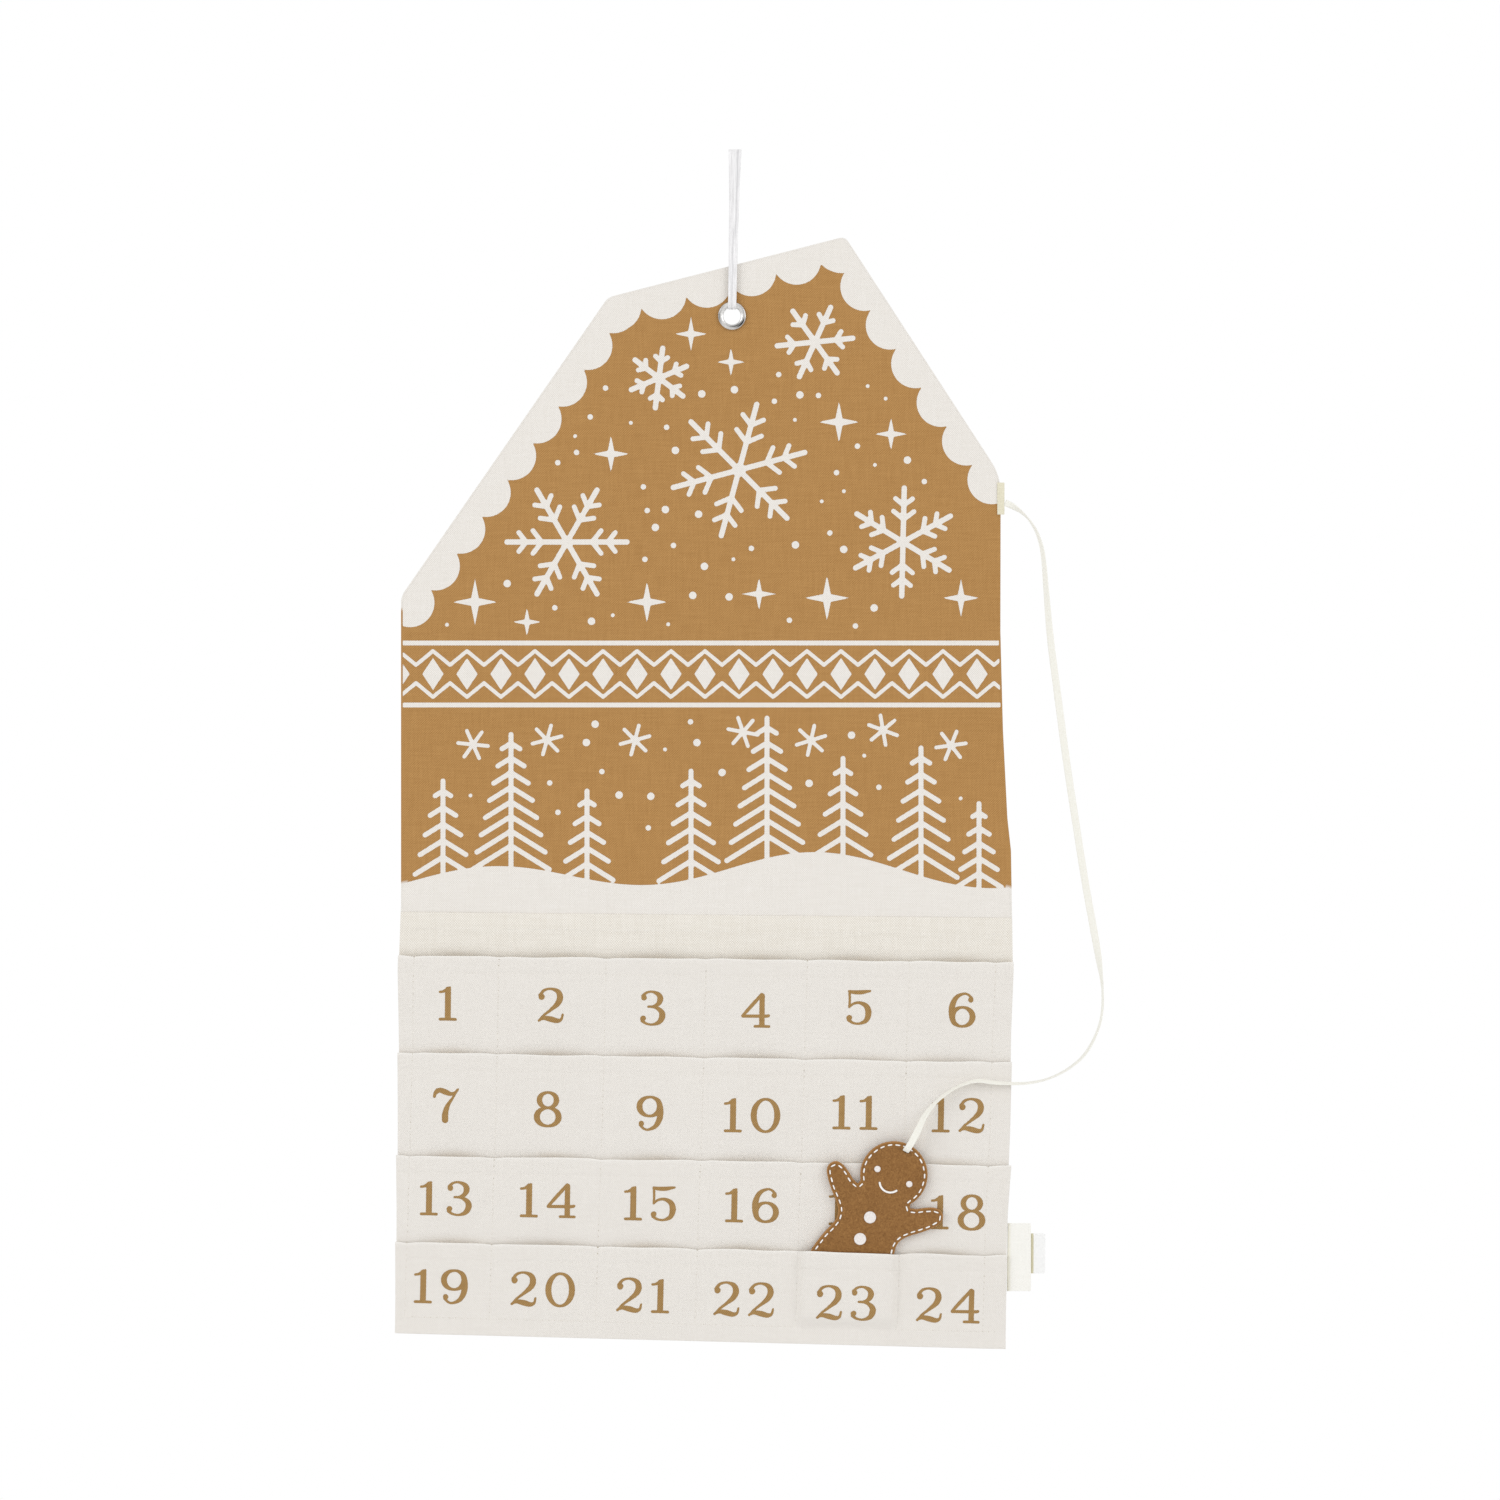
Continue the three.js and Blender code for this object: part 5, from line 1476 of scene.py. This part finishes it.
def number_patch(text, centre_x, centre_z, slope):
    """The film of one number: the distance to all its strokes on a fine grid round it, with an
    uneven edge about as coarse as the weave."""
    samples, start = [], 0.0
    for digit in text:
        strokes = np.concatenate([smooth_path(knots, STROKE_STEPS * (len(knots) - 1))
                                  for knots in DIGITS[digit][1]]) - (0, 0.5, 0)
        strokes *= (DIGIT_HEIGHT * DIGIT_STRETCH, DIGIT_HEIGHT, DIGIT_HEIGHT)
        strokes[:, 0] += start - (strokes[:, 0] - strokes[:, 2]).min()
        start = (strokes[:, 0] + strokes[:, 2]).max() + DIGIT_GAP
        samples.append(strokes)
    samples = np.concatenate(samples)
    samples[:, 0] -= (start - DIGIT_GAP) / 2
    tilt = math.radians(slope)
    sx = centre_x + samples[:, 0] * math.cos(tilt) - samples[:, 1] * math.sin(tilt)
    sz = centre_z + samples[:, 0] * math.sin(tilt) + samples[:, 1] * math.cos(tilt)
    x = np.arange(sx.min() - 2, sx.max() + 2.5, INK_GRID)
    z = np.arange(sz.min() - 2, sz.max() + 2.5, INK_GRID)
    gx, gz = np.meshgrid(x, z)
    field = np.full(gx.shape, FAR)
    for k in range(0, len(sx), 40):
        part = slice(k, k + 40)
        reach = np.hypot(gx[..., None] - sx[part], gz[..., None] - sz[part]) - samples[part, 2]
        field = np.minimum(field, reach.min(-1))
    field += 0.09 * np.sin(gx * 2 * np.pi / 0.8 + gz * 3) * np.sin(gz * 2 * np.pi / 1.0 + gx)
    return film_faces(x, z, field, block=2)


def photo_mm(px, py):
    """From the photograph's pixels to millimetres: half a millimetre each, from the hook."""
    return (px - 735) / 2, (150 - py) / 2


NUMBER_CENTRES = [
    (448, 1003), (551, 1005), (653, 1008), (756, 1010), (859, 1007), (962, 1010),
    (446, 1105), (548, 1109), (650, 1113), (752, 1115), (855, 1112), (958, 1115),
    (446, 1198), (548, 1200), (650, 1203), (752, 1205), (855, 1208), (958, 1212),
    (441, 1286), (543, 1289), (643, 1295), (744, 1299), (846, 1302), (948, 1305),
]
NUMBER_SLOPES = (-1.0, -1.0, -1.2, -1.6)


def strips_surface(x, z):
    return front_of_strips(share_at(x, z), z)


for row, slope in enumerate(NUMBER_SLOPES):
    patches = [number_patch(str(k + 1), *photo_mm(*NUMBER_CENTRES[k]), slope)
               for k in range(6 * row, 6 * row + 6)]
    film_piece(f"printed_numbers_{row + 1}", patches, strips_surface, pocket_ink, INK_RISE)

# %% [markdown]
# ## The print on the gable
# The upper cloth is printed brown, and the drawing is what the ink leaves bare: a scalloped
# border along the roof edges, snowflakes, stars, dots, a band of diamonds between zigzags, and
# fir trees on a bank of snow. It is drawn as one field, the least of the distances to all its
# strokes, and laid on as a film of bare canvas.

# %% Motif helpers
PRINT_GRID = 0.6
print_x = np.arange(-169.0, 140.0, PRINT_GRID)
print_z = np.arange(BAND_TOP - 6, BOTTOM_Z + PANEL_HEIGHT + 1, PRINT_GRID)
field = np.full((len(print_z), len(print_x)), FAR)
TWIG_SPREAD = math.radians(52)


def window(x_low, x_high, z_low, z_high, margin=3.0):
    """The part of the grid round a motif, with its coordinates."""
    c = slice(*np.searchsorted(print_x, (x_low - margin, x_high + margin)))
    r = slice(*np.searchsorted(print_z, (z_low - margin, z_high + margin)))
    gx, gz = np.meshgrid(print_x[c], print_z[r])
    return (r, c), gx, gz


def bare_line(start, end, half_width):
    """A straight round-ended stroke: the distance to its middle line less its half width."""
    (x0, z0), (x1, z1) = start, end
    place, gx, gz = window(min(x0, x1), max(x0, x1), min(z0, z1), max(z0, z1), half_width + 2)
    length = max((x1 - x0) ** 2 + (z1 - z0) ** 2, 1e-9)
    t = np.clip(((gx - x0) * (x1 - x0) + (gz - z0) * (z1 - z0)) / length, 0, 1)
    reach = np.hypot(gx - x0 - t * (x1 - x0), gz - z0 - t * (z1 - z0)) - half_width
    field[place] = np.minimum(field[place], reach)


def bare_dot(x, z, radius):
    bare_line((x, z), (x + 1e-3, z), radius)


def bare_polygon(*corners):
    """A filled convex shape: the greatest of the distances beyond its sides."""
    corners = np.array(corners, float)
    place, gx, gz = window(*np.sort(corners[:, 0])[[0, -1]], *np.sort(corners[:, 1])[[0, -1]])
    area = np.sum(corners[:, 0] * np.roll(corners[:, 1], -1) - np.roll(corners[:, 0], -1) * corners[:, 1])
    if area < 0:
        corners = corners[::-1]
    reach = np.full(gx.shape, -99.0)
    for (x0, z0), (x1, z1) in zip(corners, np.roll(corners, -1, axis=0)):
        length = math.hypot(x1 - x0, z1 - z0)
        reach = np.maximum(reach, ((gx - x0) * (z1 - z0) - (gz - z0) * (x1 - x0)) / length)
    field[place] = np.minimum(field[place], reach - 0.3)


def flake(x, z, radius, turn, half_width, twigs):
    """A snowflake: six arms from the centre, each with pairs of short slanted twigs."""
    for arm in range(6):
        angle = turn + 2 * math.pi * arm / 6
        ux, uz = math.cos(angle), math.sin(angle)
        bare_line((x, z), (x + radius * ux, z + radius * uz), half_width)
        for share, reach in twigs:
            for tilt in (angle - TWIG_SPREAD, angle + TWIG_SPREAD):
                root = (x + radius * share * ux, z + radius * share * uz)
                tip = (root[0] + radius * reach * math.cos(tilt), root[1] + radius * reach * math.sin(tilt))
                bare_line(root, tip, half_width * 0.9)


def star(x, z, radius):
    """A four-pointed star as two thin crossed diamonds."""
    for ux, uz in ((1.0, 0.0), (math.cos(math.pi / 2), 1.0)):
        waist = 0.2 * radius
        bare_polygon((x + radius * ux, z + radius * uz), (x - waist * uz, z + waist * ux),
                     (x - radius * ux, z - radius * uz), (x + waist * uz, z - waist * ux))


def fir(x, foot, height, half_spread, half_width=1.25):
    """A fir drawn with strokes: a trunk, and pairs of boughs that get longer going down."""
    bare_line((x, foot), (x, foot + height), half_width)
    count = max(int(height / 8.5), 4)
    for k in range(count):
        share = (k + 0.6) / count
        root = foot + height * (1 - share * 0.86)
        reach = half_spread * (0.16 + 0.84 * share)
        for side in (-1, 1):
            bare_line((x, root), (x + side * reach, root - 0.62 * reach), half_width)


# %% Border along the roof edges
BORDER_END_SHARE = 0.784
SCALLOP_PITCH = 22.0
SCALLOP_RADIUS = 12.2
border_start = (left_edge_x(0.0), BOTTOM_Z + PANEL_HEIGHT * LEFT_EAVE_SHARE)
border_end = (right_edge_x(0.0), BOTTOM_Z + PANEL_HEIGHT * BORDER_END_SHARE)
bends = OUTLINE[[CORNER_STEPS, 2 * CORNER_STEPS - 1, 2 * CORNER_STEPS, 3 * CORNER_STEPS - 1]]
for start, end in np.array([border_start, *bends, border_end]).reshape(3, 2, 2):
    run = np.linalg.norm(end - start)
    count = int(round(run / SCALLOP_PITCH))
    step = (end - start) / run
    inward = np.array([step[1], -step[0]])
    for k in range(count + 1):
        bare_dot(*(start + step * run * k / count + inward * 5.5), SCALLOP_RADIUS)
    bare_line(start + inward * 2.5, end + inward * 2.5, 7.0)

# %% Bank of snow, firs and flakes
BAND_Z = -262.0
BAND_HALF = 15.5
FIRS = ((-146, 48, 15), (-112, 68, 20), (-74, 46, 14), (-22, 56, 17),
        (16, 72, 21), (54, 50, 15), (93, 66, 19), (122, 44, 12))
FLAKES = ((-84, -196, 30, 0.0), (2, -160, 34, 0.26), (84, -196, 27, 0.5),
          (40, -96, 19, 0.1), (-38, -114, 15, 0.4))
STARS = ((-130, -226, 10), (-44, -226, 9), (46, -224, 10), (113, -224, 8), (-62, -152, 8), (52, -136, 9),
         (-22, -92, 7), (78, -142, 7), (-104, -236, 6), (12, -222, 7), (-2, -106, 6))
SMALL_FLAKES = (-131, -94, -50, 4, 38, 74, 108)

gx, gz = np.meshgrid(print_x, print_z)
field = np.minimum(field, gz - bank_height(gx))
for x, height, spread in FIRS:
    fir(x, bank_height(x) - 2, height, spread)
for z in (BAND_Z - BAND_HALF, BAND_Z + BAND_HALF):
    bare_line((-172, z), (142, z), 1.2)
for x in np.arange(-168.0, 139.0, 17.0):
    bare_polygon((x, BAND_Z + 7.5), (x + 5, BAND_Z), (x, BAND_Z - 7.5), (x - 5, BAND_Z))
    for side in (-1, 1):
        for reach in (-8.5, 8.5):
            bare_line((x + reach, BAND_Z + side * 4.5), (x, BAND_Z + side * 11.5), 0.95)
for x, z, radius, turn in FLAKES:
    flake(x, z, radius, turn, 1.35, ((0.42, 0.24), (0.68, 0.2)) if radius > 20 else ((0.55, 0.26),))
    bare_dot(x, z, radius * 0.1)
for motif in STARS:
    star(*motif)
for x in SMALL_FLAKES:
    flake(x, -294 - 4 * math.sin(x), 7.5, x, 0.95, ())

# %% Loose snow
SNOW_TRIES = 900
SNOW_ROOM = 4.2

rng = np.random.default_rng(12)
for x, z in rng.uniform((-160, -348), (130, -60), (SNOW_TRIES, 2)):
    place, near_x, near_z = window(x, x, z, z, 5)
    if abs(z - BAND_Z) < 21 or near_x.size == 0:
        continue
    close = field[place][np.hypot(near_x - x, near_z - z) < 5.2]
    inside = outline_distance(np.array([x]), np.array([z]))[0] > 22 and z < top_line(outline_share(x))
    if close.size and close.min() > SNOW_ROOM and inside:
        bare_dot(x, z, rng.choice([1.0, 1.4, 1.9]))

# %% Cut to the cloth
RIM_LEFT = 0.9
EYELET_ROOM = 6.4

field += 0.12 * np.sin(gx * 2 * np.pi / 1.05 + gz) * np.sin(gz * 2 * np.pi / 1.1 + 0.7 * gx)
share_x = np.clip(outline_share(gx), 0, 1)
on_cloth = (gz < top_line(share_x)) & (gx > left_edge_x(gz)) & (gx < right_edge_x(gz))
field = np.maximum(field, RIM_LEFT - outline_distance(gx, gz) * np.where(on_cloth, 1, -1))
field = np.maximum(field, (band_line(share_x) - 1.5) - gz)
field = np.maximum(field, EYELET_ROOM - np.hypot(gx - EYELET_X, gz - EYELET_Z))
bare_print = film_piece("bare_motifs", [film_faces(print_x, print_z, field)], front_face, canvas, PRINT_RISE)

# %% [markdown]
# ## The figure's trim
# White running stitch follows the edge, a white cord makes the smile, and small discs are the
# eyes and buttons. All of it lies on the front felt, in the figure's own plane.

# %% Running stitch round the figure
FELT_FRONT = -2.3
TRIM_INSET = 1.5
FELT_PITCH = 3.9
FELT_BEAD = (2.45, 0.72, 0.55)
stitch_path = inset(figure_outline(900), TRIM_INSET)
stitch_line = place_on_figure(np.concatenate([stitch_path, stitch_path[:1]]), FELT_FRONT - 0.12)
figure_out = place_on_figure(np.zeros(2), -1.0) - place_on_figure(np.zeros(2), 0.0)
figure_stitches = stitched_line("figure_stitches", stitch_line, FELT_PITCH, FELT_BEAD, "marker",
                                white_thread, "marker_stitching", 70, out=figure_out, jitter=0.05)

# %% Smile
SMILE_RADIUS = 5.4
SMILE_CENTRE = np.array([-0.2, -3.7])
SMILE_POINTS = 40


def circle(count, *turns):
    """Points of a unit circle between two angles in degrees, or all round it."""
    if turns:
        turn = np.radians(np.linspace(*turns, count))
    else:
        turn = np.linspace(0, 2 * np.pi, count, endpoint=False)
    return np.stack([np.cos(turn), np.sin(turn)], -1)


smile_flat = SMILE_CENTRE + SMILE_RADIUS * circle(SMILE_POINTS, -155, -25)
smile_path = place_on_figure(smile_flat, FELT_FRONT - 0.25)
from_end = np.minimum(np.arange(SMILE_POINTS), np.arange(SMILE_POINTS)[::-1]) / 1.5
taper = np.sqrt(np.clip(1 - (1 - np.clip(from_end, 0, 1)) ** 2, 0.02, 1))
smile_sections = (circle(12) * (0.5, 0.36))[None] * taper[:, None, None]
smile_rings = sweep(smile_path, smile_sections, np.cross(np.gradient(smile_path, axis=0), figure_out))
smile_cord = add_piece("smile_cord", *capped_tube(smile_rings), "marker", white_thread, "marker_smile")

# %% Eyes and buttons
BUTTON_PROFILE = [(0.4, -0.1), (2.9, -0.1), (3.0, 0.05), (3.02, 0.26), (2.92, 0.46), (2.74, 0.56),
                  (2.5, 0.52), (2.34, 0.4), (1.6, 0.36), (0.8, 0.37), (0.2, 0.37)]
EYE_PROFILE = [(0.3, -0.1), (1.5, -0.1), (1.6, 0.1), (1.58, 0.3), (1.4, 0.52), (1.1, 0.64),
               (0.7, 0.7), (0.2, 0.72)]

dot_finish = Recipe("white_dot", roughness=0.45, specular=0.4)
mottle = dot_finish.noise(1300, 3)
dot_finish.colour(dot_finish.mottled(mottle, 0.38, 0.62, linear(228, 221, 217), linear(238, 233, 230)))
dot_finish.bump(mottle, 0.00008, 0.4)


def round_dot(name, centre, profile):
    """A profile of (radius, height) pairs turned about a point of the figure's front."""
    profile = np.array(profile)
    flat = centre + profile[:, None, :1] * circle(40)[None]
    rings = place_on_figure(flat, FELT_FRONT - profile[:, 1:2])
    return add_piece(name, *capped_tube(rings), "marker", dot_finish.material, f"marker_{name}")


dots = [
    round_dot("button_1", (-1.7, -24.2), BUTTON_PROFILE),
    round_dot("button_2", (-1.5, -36.1), BUTTON_PROFILE),
    round_dot("eye_left", (-8.8, -0.75), EYE_PROFILE),
    round_dot("eye_right", (8.8, -0.75), EYE_PROFILE),
]

# %% [markdown]
# ## The tape's sewn end
# The tape's end is turned and caught in a short cream strip at the side seam.

# %% Tape end
TAPE_COVER = 1.0
anchor_low, anchor_high = (np.array(corner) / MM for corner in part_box("tether_anchor"))


def tape_end_face(x, z):
    return -0.82 + 0.1 * np.cos((x - anchor_low[0]) * 2.2) + 0.05 * ripple(x, z, 6, 71)


tape_end = woven("tape_end", linear(240, 236, 216), linear(214, 207, 180), 0.0006, 0.0004)
points, faces = label_shell(lambda z: anchor_low[0] + 0 * z, anchor_high[0] + TAPE_COVER, anchor_low[2],
                            anchor_high[2], tape_end_face, 0.5, 0.3, 14, 60, 0.3)
tape_end_strip = add_piece("tape_end_strip", points, faces, "panel", tape_end, "tether_anchor")

# %% [markdown]
# ## Sheets of cloth
# The flat area of each gabled cloth, without its turnings, is worked out from its outline. The area
# of a closed outline is half the sum of x1 times z2 less x2 times z1 along it.


def outline_area(points):
    """The area inside a closed line of (x, z) points, in square metres from millimetres."""
    x, z = points[:, 0], points[:, 1]
    return abs(float(np.sum(x * np.roll(z, -1) - np.roll(x, -1) * z))) / 2 * MM**2


def gabled_area(lower_line):
    """The area of the gable outline closed along its foot and down its two edges."""
    across = np.linspace(1, 0, 60)
    foot = np.column_stack([OUTLINE[0, 0] + (OUTLINE[-1, 0] - OUTLINE[0, 0]) * across, lower_line(across)])
    return outline_area(np.concatenate([OUTLINE, foot]))


gabled_area(print_foot)
gabled_area(bottom_line)
